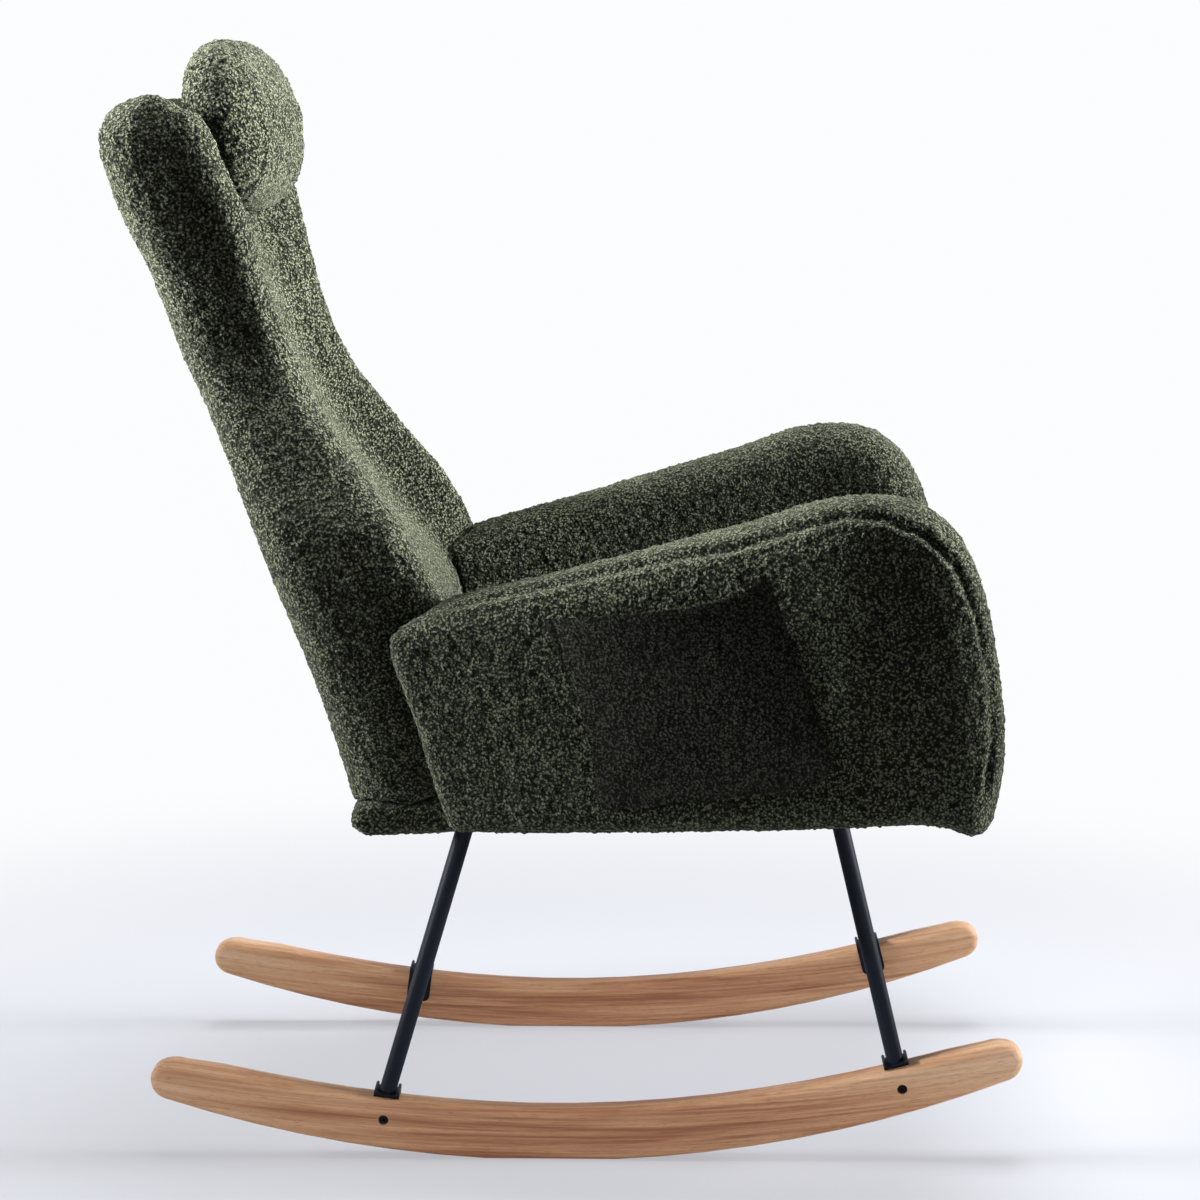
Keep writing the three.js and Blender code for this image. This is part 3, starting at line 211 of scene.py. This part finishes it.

# %% [markdown]
# ## Curly pile
# The cover is a curly, sheep-like pile. Each curl is a small bright dome, and the nearly black gap
# round it is painted shade, where the pile shades itself. A picture of such cloth could be wrapped
# over the chair, but a cell pattern in space needs no seams and stays the same size everywhere, so
# a Voronoi pattern draws the curls and their painted shade, and finer noise draws their threads. A
# soft sheen stands for the loose fibres.

# %% Curly pile
def curly_pile(name, curl, gap_shade, middle, tip, sheen, contrast=1.0):
    pile = Finish(name, Roughness=0.85, Sheen_Weight=sheen, Sheen_Roughness=0.35,
                  Sheen_Tint=(0.7, 0.76, 0.56), Specular_IOR_Level=0.06)
    wander = pile.node("ShaderNodeTexNoise", {}, {
        "Vector": pile.place, "Scale": 0.35 / curl, "Detail": 2,
    })
    strayed = pile.node("ShaderNodeMix", {"data_type": "VECTOR"}, {
        0: curl * 1.6, 4: pile.place, 5: wander.outputs["Color"],
    }).outputs[1]
    loops = pile.noise(0.55 / curl, 1.5, 0.55, strayed)
    ridges = 1 - ((loops - 0.5) * 5.5).size()
    cells = pile.amount("ShaderNodeTexVoronoi", {"feature": "F1"}, {
        "Vector": strayed, "Scale": 0.95 / curl,
    })
    threads = pile.noise(2.6 / curl, 2, 0.6)
    dome = ridges * 0.25 + (0.95 - cells * 1.3) * 0.75 + (threads - 0.5) * 1.0
    clumps = pile.noise(0.16 / curl, 2)
    drift = pile.noise(5, 2)
    shade = dome * contrast + (clumps - 0.5) * 0.12 + (drift - 0.5) * 0.15
    # The ramp paints shade: nearly black deep in the gaps between curls, through the middle tone, up to
    # the curl tops.
    ramp = pile.node("ShaderNodeValToRGB", {"stops": [(0.22, gap_shade), (0.42, middle), (0.66, tip)]}, {
        0: shade,
    })
    pile.paint(ramp.outputs[0])
    pile.bump(dome + (clumps - 0.5) * 0.8, curl * 0.8)
    return pile


# The first colour of each pile is the painted shade in the gaps between curls.
boucle = curly_pile("boucle", 0.0025, (0.0007, 0.0008, 0.0005), (0.015, 0.017, 0.0108),
                    (0.145, 0.158, 0.104), 0.2)
pocket_cloth = curly_pile("pocket_cloth", 0.0024, (0.001, 0.0011, 0.0008),
                          (0.0095, 0.0099, 0.0078), (0.044, 0.0455, 0.034), 0.03)
print("pile ready")

# %% [markdown]
# ## Runner wood
# The runners are pale rubberwood, with fine dark pores and reddish streaks. They are sawn from
# planks that are glued end to end, so the grain bends less than the runner does. An image would
# show where it repeats, so noise is drawn out along the grain, on a place that follows half of
# the runner's bend.

# %% Runner wood
bend_radius = 1.168
grain_bend_share = 0.5
wood = Finish("runner_wood", Specular_IOR_Level=0.35)
parts = wood.node("ShaderNodeSeparateXYZ", {}, {0: wood.place})
side_way = Amount(wood, parts.outputs[0])
along = Amount(wood, parts.outputs[1]) - contact_y
across = Amount(wood, parts.outputs[2]) - along * along * (grain_bend_share / 2 / bend_radius)


def grain_place(stretch, squeeze):
    """A place on the wood that is drawn out along the grain and packed across it, per metre."""
    node = wood.node("ShaderNodeCombineXYZ", {}, {
        0: side_way * squeeze, 1: along * stretch, 2: across * squeeze,
    })
    return node.outputs[0]


bands = wood.noise(1, 4, 0.55, grain_place(2.2, 55), 0.9)
streaks = wood.noise(1, 5, 0.65, grain_place(7, 330), 0.3)
pores = wood.noise(1, 2, 0.5, grain_place(90, 1500))
broad = wood.noise(1, 2, 0.5, grain_place(1.3, 20))
# The along * along term paints the runner lighter towards both ends: painted shade over its middle,
# which lies under the seat.
grain_and_painted_shade = bands * 0.9 + (streaks - 0.5) * 0.8 + (broad - 0.5) * 0.5 + along * along * 1.6 - 0.07
wood_ramp = wood.node("ShaderNodeValToRGB", {"stops": [
    (0.2, (0.31, 0.12, 0.055)), (0.38, (0.5, 0.245, 0.125)), (0.55, (0.64, 0.36, 0.2)),
    (0.8, (0.76, 0.51, 0.33)),
]}, {0: grain_and_painted_shade})
pore_marks = pores.over(0.58, 0.7)
wood.paint(wood.mix(pore_marks * 0.45, wood_ramp.outputs[0], (0.26, 0.13, 0.07)))
wood.rough(0.42 + streaks * 0.15 + pore_marks * 0.2)
wood.bump(streaks * 0.5 - pore_marks, 0.0003, 0.6)
print("runner wood ready")

# %% [markdown]
# ## Steel, inner wood and black cloth
# The legs are powder coated: nearly black with a touch of blue, and not quite smooth. The inner
# frame is raw softwood, the springs are bare wire and the dust cover is a thin black fleece. None
# of these needs a drawn picture: two or three noises each give the wear and the fine texture.

# %% Steel, inner wood and black cloth
steel = Finish("black_steel", Specular_IOR_Level=0.06)
orange_peel = steel.noise(900, 2, 0.5)
wear = steel.noise(35, 3, 0.6)
steel.paint(steel.mix(wear, (0.0045, 0.0065, 0.0115), (0.0085, 0.011, 0.017)))
steel.rough(0.44 + wear * 0.12)
steel.bump(orange_peel, 0.00008, 0.5)

spring_steel = Finish("spring_steel", Metallic=1.0)
scale = spring_steel.noise(60, 3, 0.6)
spring_steel.paint(spring_steel.mix(scale, (0.2, 0.2, 0.21), (0.45, 0.45, 0.46)))
spring_steel.rough(0.3 + scale * 0.25)

frame_wood = Finish("frame_wood", Roughness=0.7)
frame_grain = frame_wood.noise(30, 4, 0.6, distortion=0.8)
frame_wood.paint(frame_wood.mix(frame_grain, (0.42, 0.27, 0.14), (0.62, 0.46, 0.28)))
frame_wood.bump(frame_grain, 0.0004, 0.4)

black_cloth = Finish("black_cloth", Roughness=0.95, Sheen_Weight=0.2)
fuzz = black_cloth.noise(1400, 2, 0.6)
spots = black_cloth.noise(160, 2, 0.5)
black_cloth.paint(black_cloth.mix(fuzz * 0.6 + spots * 0.4, (0.006, 0.006, 0.006), (0.03, 0.03, 0.032)))
black_cloth.bump(fuzz + spots.over(0.5, 0.7) * 0.5, 0.0004, 0.6)

slot_finishes = {
    "runner_wood": wood, "frame_wood": frame_wood, "black_steel": steel,
    "spring_steel": spring_steel, "black_cloth": black_cloth,
    "boucle_fabric": boucle, "pocket_fabric": pocket_cloth,
}
slot_of = {part["node"]: part["material_slot"] for part in frame["record"]["subparts"]}
for node, slot in slot_of.items():
    dress(nodes[node], slot_finishes[slot])
print("finishes on the CAD nodes")

# %% [markdown]
# ## Working on a mesh
# Every mesh operator works on what is selected, so a few helpers select one piece, run operators
# on it, and read or move its corners as one table of numbers.

# %% Working on a mesh
def only(*pieces):
    """Selects these pieces alone, with the first one active."""
    bpy.ops.object.select_all(action="DESELECT")
    for piece in pieces:
        piece.select_set(True)
    bpy.context.view_layer.objects.active = pieces[0]


def in_edit_mode(piece, *steps):
    """Runs mesh operators on all of a piece, each given as (operator, its options)."""
    only(piece)
    bpy.ops.object.mode_set(mode="EDIT")
    bpy.ops.mesh.select_all(action="SELECT")
    for operator, options in steps:
        operator(**options)
    bpy.ops.object.mode_set(mode="OBJECT")


def with_modifier(piece, kind, **settings):
    """Adds a modifier to a piece, sets it and applies it."""
    only(piece)
    bpy.ops.object.modifier_add(type=kind)
    modifier = piece.modifiers[-1]
    for key, value in settings.items():
        setattr(modifier, key, value)
    bpy.ops.object.modifier_apply(modifier=modifier.name)


def corners(piece):
    spots = np.empty(len(piece.data.vertices) * 3)
    piece.data.vertices.foreach_get("co", spots)
    return spots.reshape(-1, 3)


def normals(piece):
    ways = np.empty(len(piece.data.vertices) * 3)
    piece.data.vertex_normals.foreach_get("vector", ways)
    return ways.reshape(-1, 3)


def place_corners(piece, spots):
    piece.data.vertices.foreach_set("co", spots.ravel())
    piece.data.update()


def copy_of(node):
    piece = bpy.data.objects.new(node + "_copy", nodes[node].data.copy())
    bpy.context.collection.objects.link(piece)
    in_edit_mode(piece, (bpy.ops.mesh.remove_doubles, {"threshold": 1e-5}))
    return piece


def ramp(values, low, high):
    """0 below low, 1 above high, with soft ends."""
    share = np.clip((values - low) / (high - low), 0, 1)
    return share * share * (3 - 2 * share)


print("mesh helpers ready")

# %% [markdown]
# ## Runners, legs and brackets
# The solids of these pieces are right, but their faces are flat facets. They could be modelled
# again as curves, which would only repeat the same outlines. Instead, each one's loose triangles
# are merged, and its normals are smoothed by the size of the faces, so that the flats stay flat
# and the rounded edges look round.

# %% Smooth rigid pieces
smooth_under = math.radians(40)


def smoothed(node):
    piece = copy_of(node)
    piece.name = node + "_shell"
    only(piece)
    bpy.ops.object.shade_smooth_by_angle(angle=smooth_under)
    with_modifier(piece, "WEIGHTED_NORMAL", keep_sharp=True, weight=80)
    dress(piece, slot_finishes[slot_of[node]])
    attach(piece, "chair")
    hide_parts(node)


rigid_names = ("runner_right", "runner_left", "leg_tube", "foot_bracket")
for node in slot_of:
    if node.startswith(rigid_names):
        smoothed(node)
print("rigid pieces smoothed")

# %% [markdown]
# ## From solid to cloth
# A CAD solid has the right form, but flat faces and a hollow for the frame inside. Joined with
# copies of that frame and remeshed with voxels, it becomes one closed skin of small even squares,
# which cloth simulation, grooves and pile can all work on. The frame's own parts stay underneath.

# %% One skin over several solids
voxel = 0.005


def skin_over(name, outer, *inner, smooth=3, cell=voxel):
    pieces = [copy_of(node) if isinstance(node, str) else node for node in (outer, *inner)]
    only(*pieces)
    bpy.ops.object.join()
    piece = bpy.context.object
    piece.name = name
    piece.data.remesh_voxel_size = cell
    piece.data.remesh_voxel_adaptivity = 0
    bpy.ops.object.voxel_remesh()
    in_edit_mode(piece, (bpy.ops.mesh.separate, {"type": "LOOSE"}))
    islands = sorted(bpy.context.selected_objects, key=lambda island: len(island.data.vertices))
    piece = islands.pop()
    for island in islands:
        bpy.data.objects.remove(island)
    piece.name = name
    in_edit_mode(piece, (bpy.ops.mesh.vertices_smooth, {"factor": 0.5, "repeat": smooth}))
    print(name, "squares", len(piece.data.polygons), "islands dropped", len(islands))
    return piece


def trimmed(piece, point, normal):
    """The part of a piece on the side that normal points to, closed again."""
    in_edit_mode(piece, (bpy.ops.mesh.bisect, {
        "plane_co": point, "plane_no": normal, "use_fill": True, "clear_inner": True,
    }))
    return piece


# %% [markdown]
# ## Stuffing
# A cushion is tight in the middle and held in at its seams. Moving corners by hand gives a
# guess at that shape. Cloth simulation works it out: the skin is blown up with a little pressure
# while its seams are pinned, and no corner may go further than a cap.

# %% Stuffing
stuffing_pressure = 4
stuffing_frames = 20


def stuffed(piece, held, cap, grow):
    """Grows a skin, then blows it up by at most cap. held gives each corner's hold, 0 to 1."""
    start = corners(piece) + normals(piece) * (grow * (1 - held))[:, None]
    place_corners(piece, start)
    seam = piece.vertex_groups.new(name="seam")
    for index in np.flatnonzero(held > 0.05):
        seam.add([int(index)], float(held[index]), "REPLACE")
    only(piece)
    bpy.ops.object.modifier_add(type="CLOTH")
    cloth = piece.modifiers[-1]
    cloth.settings.use_pressure = True
    cloth.settings.uniform_pressure_force = stuffing_pressure
    cloth.settings.effector_weights.gravity = 0
    cloth.settings.vertex_group_mass = seam.name
    cloth.collision_settings.use_collision = False
    cloth.point_cache.frame_start = 1
    cloth.point_cache.frame_end = stuffing_frames
    for moment in range(1, stuffing_frames + 1):
        bpy.context.scene.frame_set(moment)
    bpy.ops.object.modifier_apply(modifier=cloth.name)
    bpy.context.scene.frame_set(1)
    moved = corners(piece) - start
    length = np.linalg.norm(moved, axis=1)
    place_corners(piece, start + moved * np.minimum(1, cap / np.maximum(length, 1e-6))[:, None])
    piece.vertex_groups.clear()
    print(piece.name, "stuffed by", round(np.minimum(length, cap).mean() * 1000, 1), "mm on average")


# %% [markdown]
# ## Seams
# A sewn seam in thick pile shows as a narrow valley with a soft swell on each side. It is pressed
# into the finished skin, because a remesh would have wiped it out. A seam is a chain of points,
# and each corner of the skin moves by its distance from that chain.

# %% Seams
def distance_to_line(spots, line):
    """How far each spot lies from a chain of straight stretches."""
    least = np.full(len(spots), np.inf)
    for start, end in zip(line, line[1:]):
        start, way = np.array(start), np.array(end) - np.array(start)
        share = np.clip((spots - start) @ way / (way @ way), 0, 1)
        gap = np.linalg.norm(spots - start - share[:, None] * way, axis=1)
        least = np.minimum(least, gap)
    return least


def press_seam(piece, line, axes, depth, width, mask=1.0):
    """Presses a seam in, along a line of points that are given along two of the three axes."""
    spots = corners(piece)
    gap = distance_to_line(spots[:, axes], line) / width
    push = np.exp(-gap ** 2) - 0.3 * np.exp(-(gap - 2.4) ** 2)
    place_corners(piece, spots - normals(piece) * (depth * push * mask)[:, None])


# %% [markdown]
# ## Raising the pile
# Close up, the curls stand 2 to 3 mm above the cloth, and the outline of the chair is grainy.
# Hair would be the truest pile, but it can't leave this file as a mesh. Two noise displacements
# raise tufts and clumps on the real skin, and the finish draws the finer curls on them.

# %% Raising the pile
def refined(piece, level=1):
    with_modifier(piece, "SUBSURF", levels=level, render_levels=level)


def raise_pile(piece, curl, height):
    before = corners(piece)
    for scale, share, kind in ((curl, 1.0, "HARD_NOISE"), (curl * 3, 0.4, "SOFT_NOISE")):
        texture = bpy.data.textures.new("pile", "CLOUDS")
        texture.noise_type = kind
        texture.noise_scale = scale
        texture.noise_depth = 1
        with_modifier(piece, "DISPLACE", texture=texture, texture_coords="LOCAL",
                      strength=height * share, mid_level=0.5)
    rise = np.linalg.norm(corners(piece) - before, axis=1)
    print(piece.name, "pile", round(rise.mean() * 1000, 2), "mm on average")


def finish_soft(piece, body, slot, *replaced, curl=0.0048, height=0.003):
    raise_pile(piece, curl, height)
    only(piece)
    bpy.ops.object.shade_smooth()
    dress(piece, slot_finishes[slot])
    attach(piece, body)
    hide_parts(*replaced)


print("cloth helpers ready")

# %% [markdown]
# ## The back
# The back and its two wings are one padded cover over a wooden frame. The skin is made over the
# back's solid and copies of the frame, whose stiles are cut off where they go on into the seat.
# A shallow valley across the face shows where the two foams meet.

# %% The back
back_frame = ["back_stile_right", "back_stile_left", "wing_board_right", "wing_board_left",
              "back_rail_1", "back_rail_2", "back_rail_3", "back_webbing_1", "back_webbing_2"]
ledge_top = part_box("back")[0].z + 0.004
board_copies = []
for node in back_frame:
    board = copy_of(node)
    if "stile" in node:
        trimmed(board, (0, 0, ledge_top), (0, 0, 1))
    board_copies.append(board)
back = skin_over("back_cover", "back", *board_copies, smooth=2)
refined(back)
face_valley = [(-0.25, 0.756), (0.25, 0.756)]
facing = normals(back)
inner_face = ramp(-facing[:, 1], 0.5, 0.8) * ramp(0.13 - np.abs(corners(back)[:, 0]), -0.03, 0.03)
press_seam(back, face_valley, [0, 2], 0.006, 0.014, inner_face)
wing_corner = (0.338, 0.987)
spots = corners(back)
gap = distance_to_line(spots[:, 1:], [wing_corner, (wing_corner[0] + 0.0005, wing_corner[1])])
worn = 0.005 * np.exp(-(gap / 0.02) ** 2)
crown = 0.005 * np.exp(-((spots[:, 1] - 0.368) / 0.022) ** 2) * ramp(spots[:, 2], 0.93, 0.985)
spots[:, 2] += crown - worn
spots[:, 1] += worn * 0.6
place_corners(back, spots)
finish_soft(back, "chair", "boucle_fabric", "back")

# %% [markdown]
# ## The arms
# Each arm is a padded board whose cover is cut from side panels and one long strip that runs over
# the top and down the front. The seam between the two shows on the outer side, one hand's width
# below the top. The side panel goes on down over the seat's side to its underside.

# %% The arms
arm_seam = [
    (0.1113, 0.5364), (0.0111, 0.5593), (-0.0775, 0.582), (-0.1548, 0.5971), (-0.1915, 0.6102),
    (-0.2465, 0.6271), (-0.2831, 0.6253), (-0.32, 0.6088), (-0.3463, 0.5828), (-0.3655, 0.5381),
    (-0.3776, 0.4856), (-0.3824, 0.429), (-0.3757, 0.3908),
]
arm_skirt = 0.013  # how far the side panel goes down past the solid
for side, sign in (("right", -1), ("left", 1)):
    arm = skin_over("arm_cover_" + side, "arm_" + side, "arm_panel_" + side, "arm_block_" + side)
    refined(arm)
    outer_face = ramp(normals(arm)[:, 0] * sign, 0.1, 0.5)
    press_seam(arm, arm_seam, [1, 2], 0.004, 0.003, outer_face)
    spots = corners(arm)
    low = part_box("arm_" + side)[0].z
    spots[:, 2] -= arm_skirt * (1 - ramp(spots[:, 2], low, low + 0.1))
    place_corners(arm, spots)
    finish_soft(arm, "chair", "boucle_fabric", "arm_" + side)

# %% [markdown]
# ## The seat's cover
# The seat's box is wrapped in the same cloth, which is folded under its rails and covered there
# by the black dust cover. The skin is closed below, so its middle is pushed up a little, out of
# the dust cover's way.

# %% The seat's cover
seat = skin_over("seat_cover_cloth", "seat_cover", "front_rail", "rear_rail", "side_rail_right",
                 "side_rail_left", "dust_cover")
refined(seat)
spots = corners(seat)
under_low, under_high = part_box("dust_cover")
inside = np.minimum(
    np.minimum(spots[:, 0] - under_low.x, under_high.x - spots[:, 0]),
    np.minimum(spots[:, 1] - under_low.y, under_high.y - spots[:, 1]),
)
spots[:, 2] += 0.009 * ramp(inside, 0, 0.008) * ramp(-normals(seat)[:, 2], 0.5, 0.8)
place_corners(seat, spots)
finish_soft(seat, "chair", "boucle_fabric", "seat_cover")

# %% [markdown]
# ## Seat cushion and head pillow
# These two are loose and softer than the rest, so they are stuffed by simulation. The cushion is
# held along its lower edge, and the pillow along the two seams that join its long panel to its
# ends. The pillow rides on its own body, because it slides down the back.

# %% Seat cushion and head pillow
cushion = skin_over("cushion", "seat_cushion")
cushion_low, cushion_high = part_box("seat_cushion")
spots = corners(cushion)
stuffed(cushion, 1 - ramp(spots[:, 2], cushion_low.z, cushion_low.z + 0.05), 0.008, -0.002)
refined(cushion)
finish_soft(cushion, "chair", "boucle_fabric", "seat_cushion")

pillow = skin_over("pillow", "head_pillow", cell=0.004)
pillow_low, pillow_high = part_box("head_pillow")
pillow_seam = 0.135  # from the middle to each end's seam
slide_way = Vector(frame["record"]["behaviour"]["joints"][0]["axis"])
to_the_back = np.array((0, slide_way.z, -slide_way.y))
stuffed(pillow, ramp(normals(pillow) @ to_the_back, 0.5, 0.9), 0.006, 0.003)
refined(pillow)
for sign in (-1, 1):
    press_seam(pillow, [(sign * pillow_seam, pillow_low.z), (sign * pillow_seam, pillow_high.z)],
               [0, 2], 0.002, 0.003)
finish_soft(pillow, "headrest", "boucle_fabric", "head_pillow")

# %% [markdown]
# ## Pockets
# A pocket is one piece of thinner cloth, sewn to the arm's side along three edges, with its open
# mouth standing off a little. It is a sheet, so the pouch's thin solid is remeshed with small
# voxels, which keep its wall. Its corners are rounded, and a line of stitches follows its edges.

# %% Pockets
stitch_inset = 0.007
pocket_swell = 0.1
for side, sign in (("right", -1), ("left", 1)):
    pocket = skin_over("pouch_" + side, "pocket_" + side, cell=0.0014, smooth=4)
    spots = corners(pocket)
    flat_spots = spots[:, 1:]
    rear_top, rear_low, front_low, front_top = (
        flat_spots[np.argmax(flat_spots @ np.array(way))]
        for way in ((1, 0.6), (0.5, -1), (-1, -0.5), (-0.5, 1))
    )
    sewn_edge = [rear_top, rear_low, front_low, front_top]
    gap = distance_to_line(flat_spots, sewn_edge)
    out = ramp(normals(pocket)[:, 0] * sign, 0.0, 0.5)
    rim = (gap < 0.004) & (normals(pocket)[:, 0] * sign < -0.5)
    powers = np.stack([gap * 0 + 1, *flat_spots.T, *(flat_spots.T ** 2), flat_spots.prod(axis=1)], 1)
    arm_face = powers @ np.linalg.lstsq(powers[rim], spots[rim, 0], rcond=None)[0]
    to_mouth = distance_to_line(flat_spots, [rear_top, front_top])
    swell = 0.5 + 0.45 * np.exp(-(to_mouth / 0.035) ** 2)
    stand_off = 0.12 + swell * np.sin(np.minimum(gap / pocket_swell, 1) * math.pi / 2)
    spots[:, 0] = arm_face + (spots[:, 0] - arm_face) * stand_off
    spots[:, 0] -= sign * 0.0008 * out * np.exp(-((gap - stitch_inset) / 0.0016) ** 2)
    place_corners(pocket, spots)
    raise_pile(pocket, 0.0035, 0.0015)
    only(pocket)
    bpy.ops.object.shade_smooth()
    dress(pocket, pocket_cloth)
    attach(pocket, "chair")
    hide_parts("pocket_" + side)
    print(pocket.name, [np.round(corner, 4) for corner in sewn_edge])

# %% [markdown]
# ## Floor, backdrop and world
# The chair stands on a pale floor that fades into a white backdrop with no edge. A white that
# came from more light would wash out the chair, so the far floor and the world shine white for
# the camera only, and near the chair the floor's own shading shows, with its soft shadows.

# %% Floor, backdrop and world
white = (0.975, 0.98, 0.992)
near_white = (0.92, 0.935, 0.995)
bpy.ops.object.select_all(action="DESELECT")
bpy.ops.mesh.primitive_plane_add(size=60, location=(0, 0, 0))
floor = bpy.context.object
floor.name = "floor"
floor_finish = Finish("floor", Roughness=0.6, Specular_IOR_Level=0.2)
floor_finish.paint((0.61, 0.625, 0.68))
reach = floor_finish.node("ShaderNodeVectorMath", {"operation": "LENGTH"}, {0: floor_finish.place})
distance = Amount(floor_finish, reach.outputs["Value"])
far = distance.over(0.4, 1.5)
rays = floor_finish.node("ShaderNodeLightPath")
seen = Amount(floor_finish, rays.outputs["Is Camera Ray"]).most(
    Amount(floor_finish, rays.outputs["Is Glossy Ray"]))
glow = floor_finish.node("ShaderNodeEmission", {}, {
    "Color": floor_finish.mix(far, near_white, white), "Strength": 1.0,
})
shown = floor_finish.node("ShaderNodeMixShader", {}, {
    0: 0.45 + far * 0.55, 1: floor_finish.surface.outputs[0], 2: glow.outputs[0],
})
bounce = floor_finish.node("ShaderNodeBsdfDiffuse", {}, {"Color": (0.7, 0.705, 0.73)})
blend = floor_finish.node("ShaderNodeMixShader", {}, {
    0: seen, 1: bounce.outputs[0], 2: shown.outputs[0],
})
floor_finish.feed(floor_finish.end.inputs["Surface"], blend.outputs[0])
dress(floor, floor_finish)

fill_light = 0.065
world = bpy.data.worlds.new("studio")
bpy.context.scene.world = world
world.use_nodes = True
tree = world.node_tree
tree.nodes.clear()
rays = tree.nodes.new("ShaderNodeLightPath")
dim = tree.nodes.new("ShaderNodeBackground")
dim.inputs["Color"].default_value = (0.95, 0.97, 1, 1)
dim.inputs["Strength"].default_value = fill_light
bright = tree.nodes.new("ShaderNodeBackground")
bright.inputs["Color"].default_value = (*white, 1)
bright.inputs["Strength"].default_value = 1
either = tree.nodes.new("ShaderNodeMath")
either.operation = "MAXIMUM"
tree.links.new(rays.outputs["Is Camera Ray"], either.inputs[0])
tree.links.new(rays.outputs["Is Glossy Ray"], either.inputs[1])
choice = tree.nodes.new("ShaderNodeMixShader")
tree.links.new(either.outputs[0], choice.inputs[0])
tree.links.new(dim.outputs[0], choice.inputs[1])
tree.links.new(bright.outputs[0], choice.inputs[2])
out = tree.nodes.new("ShaderNodeOutputWorld")
tree.links.new(choice.outputs[0], out.inputs[0])
print("floor and world ready")

# %% [markdown]
# ## Lamps
# The photograph is lit from the chair's front and from behind it, with the side to the camera in
# shade. One large softbox stands on each of those sides, and a third overhead draws the shadow
# on the floor.

# %% Lamps
def softbox(name, place, aim, size, spread, power):
    bpy.ops.object.select_all(action="DESELECT")
    bpy.ops.object.light_add(type="AREA", location=place)
    lamp = bpy.context.object
    lamp.name = name
    lamp.data.shape = "RECTANGLE"
    lamp.data.size = size[0]
    lamp.data.size_y = size[1]
    lamp.data.spread = math.radians(spread)
    lamp.data.energy = power
    lamp.rotation_euler = (Vector(place) - Vector(aim)).to_track_quat("Z", "Y").to_euler()


softbox("front_softbox", (0.1, -2.6, 1.15), (0, 0.1, 0.95), (1.0, 1.0), 36, 36)
softbox("rear_softbox", (-0.06, 2.5, 1.5), (0, 0.1, 1.12), (1.0, 1.2), 35, 48)
softbox("top_softbox", (0.3, -0.1, 3.0), (0, 0, 0.4), (1.4, 1.4), 180, 90)
softbox("low_softbox", (-2.6, -0.1, 0.5), (-0.2, 0, 0.05), (1.2, 0.4), 24, 0.7)

# %% Picture settings and the end
bpy.context.scene.view_settings.view_transform = "Standard"
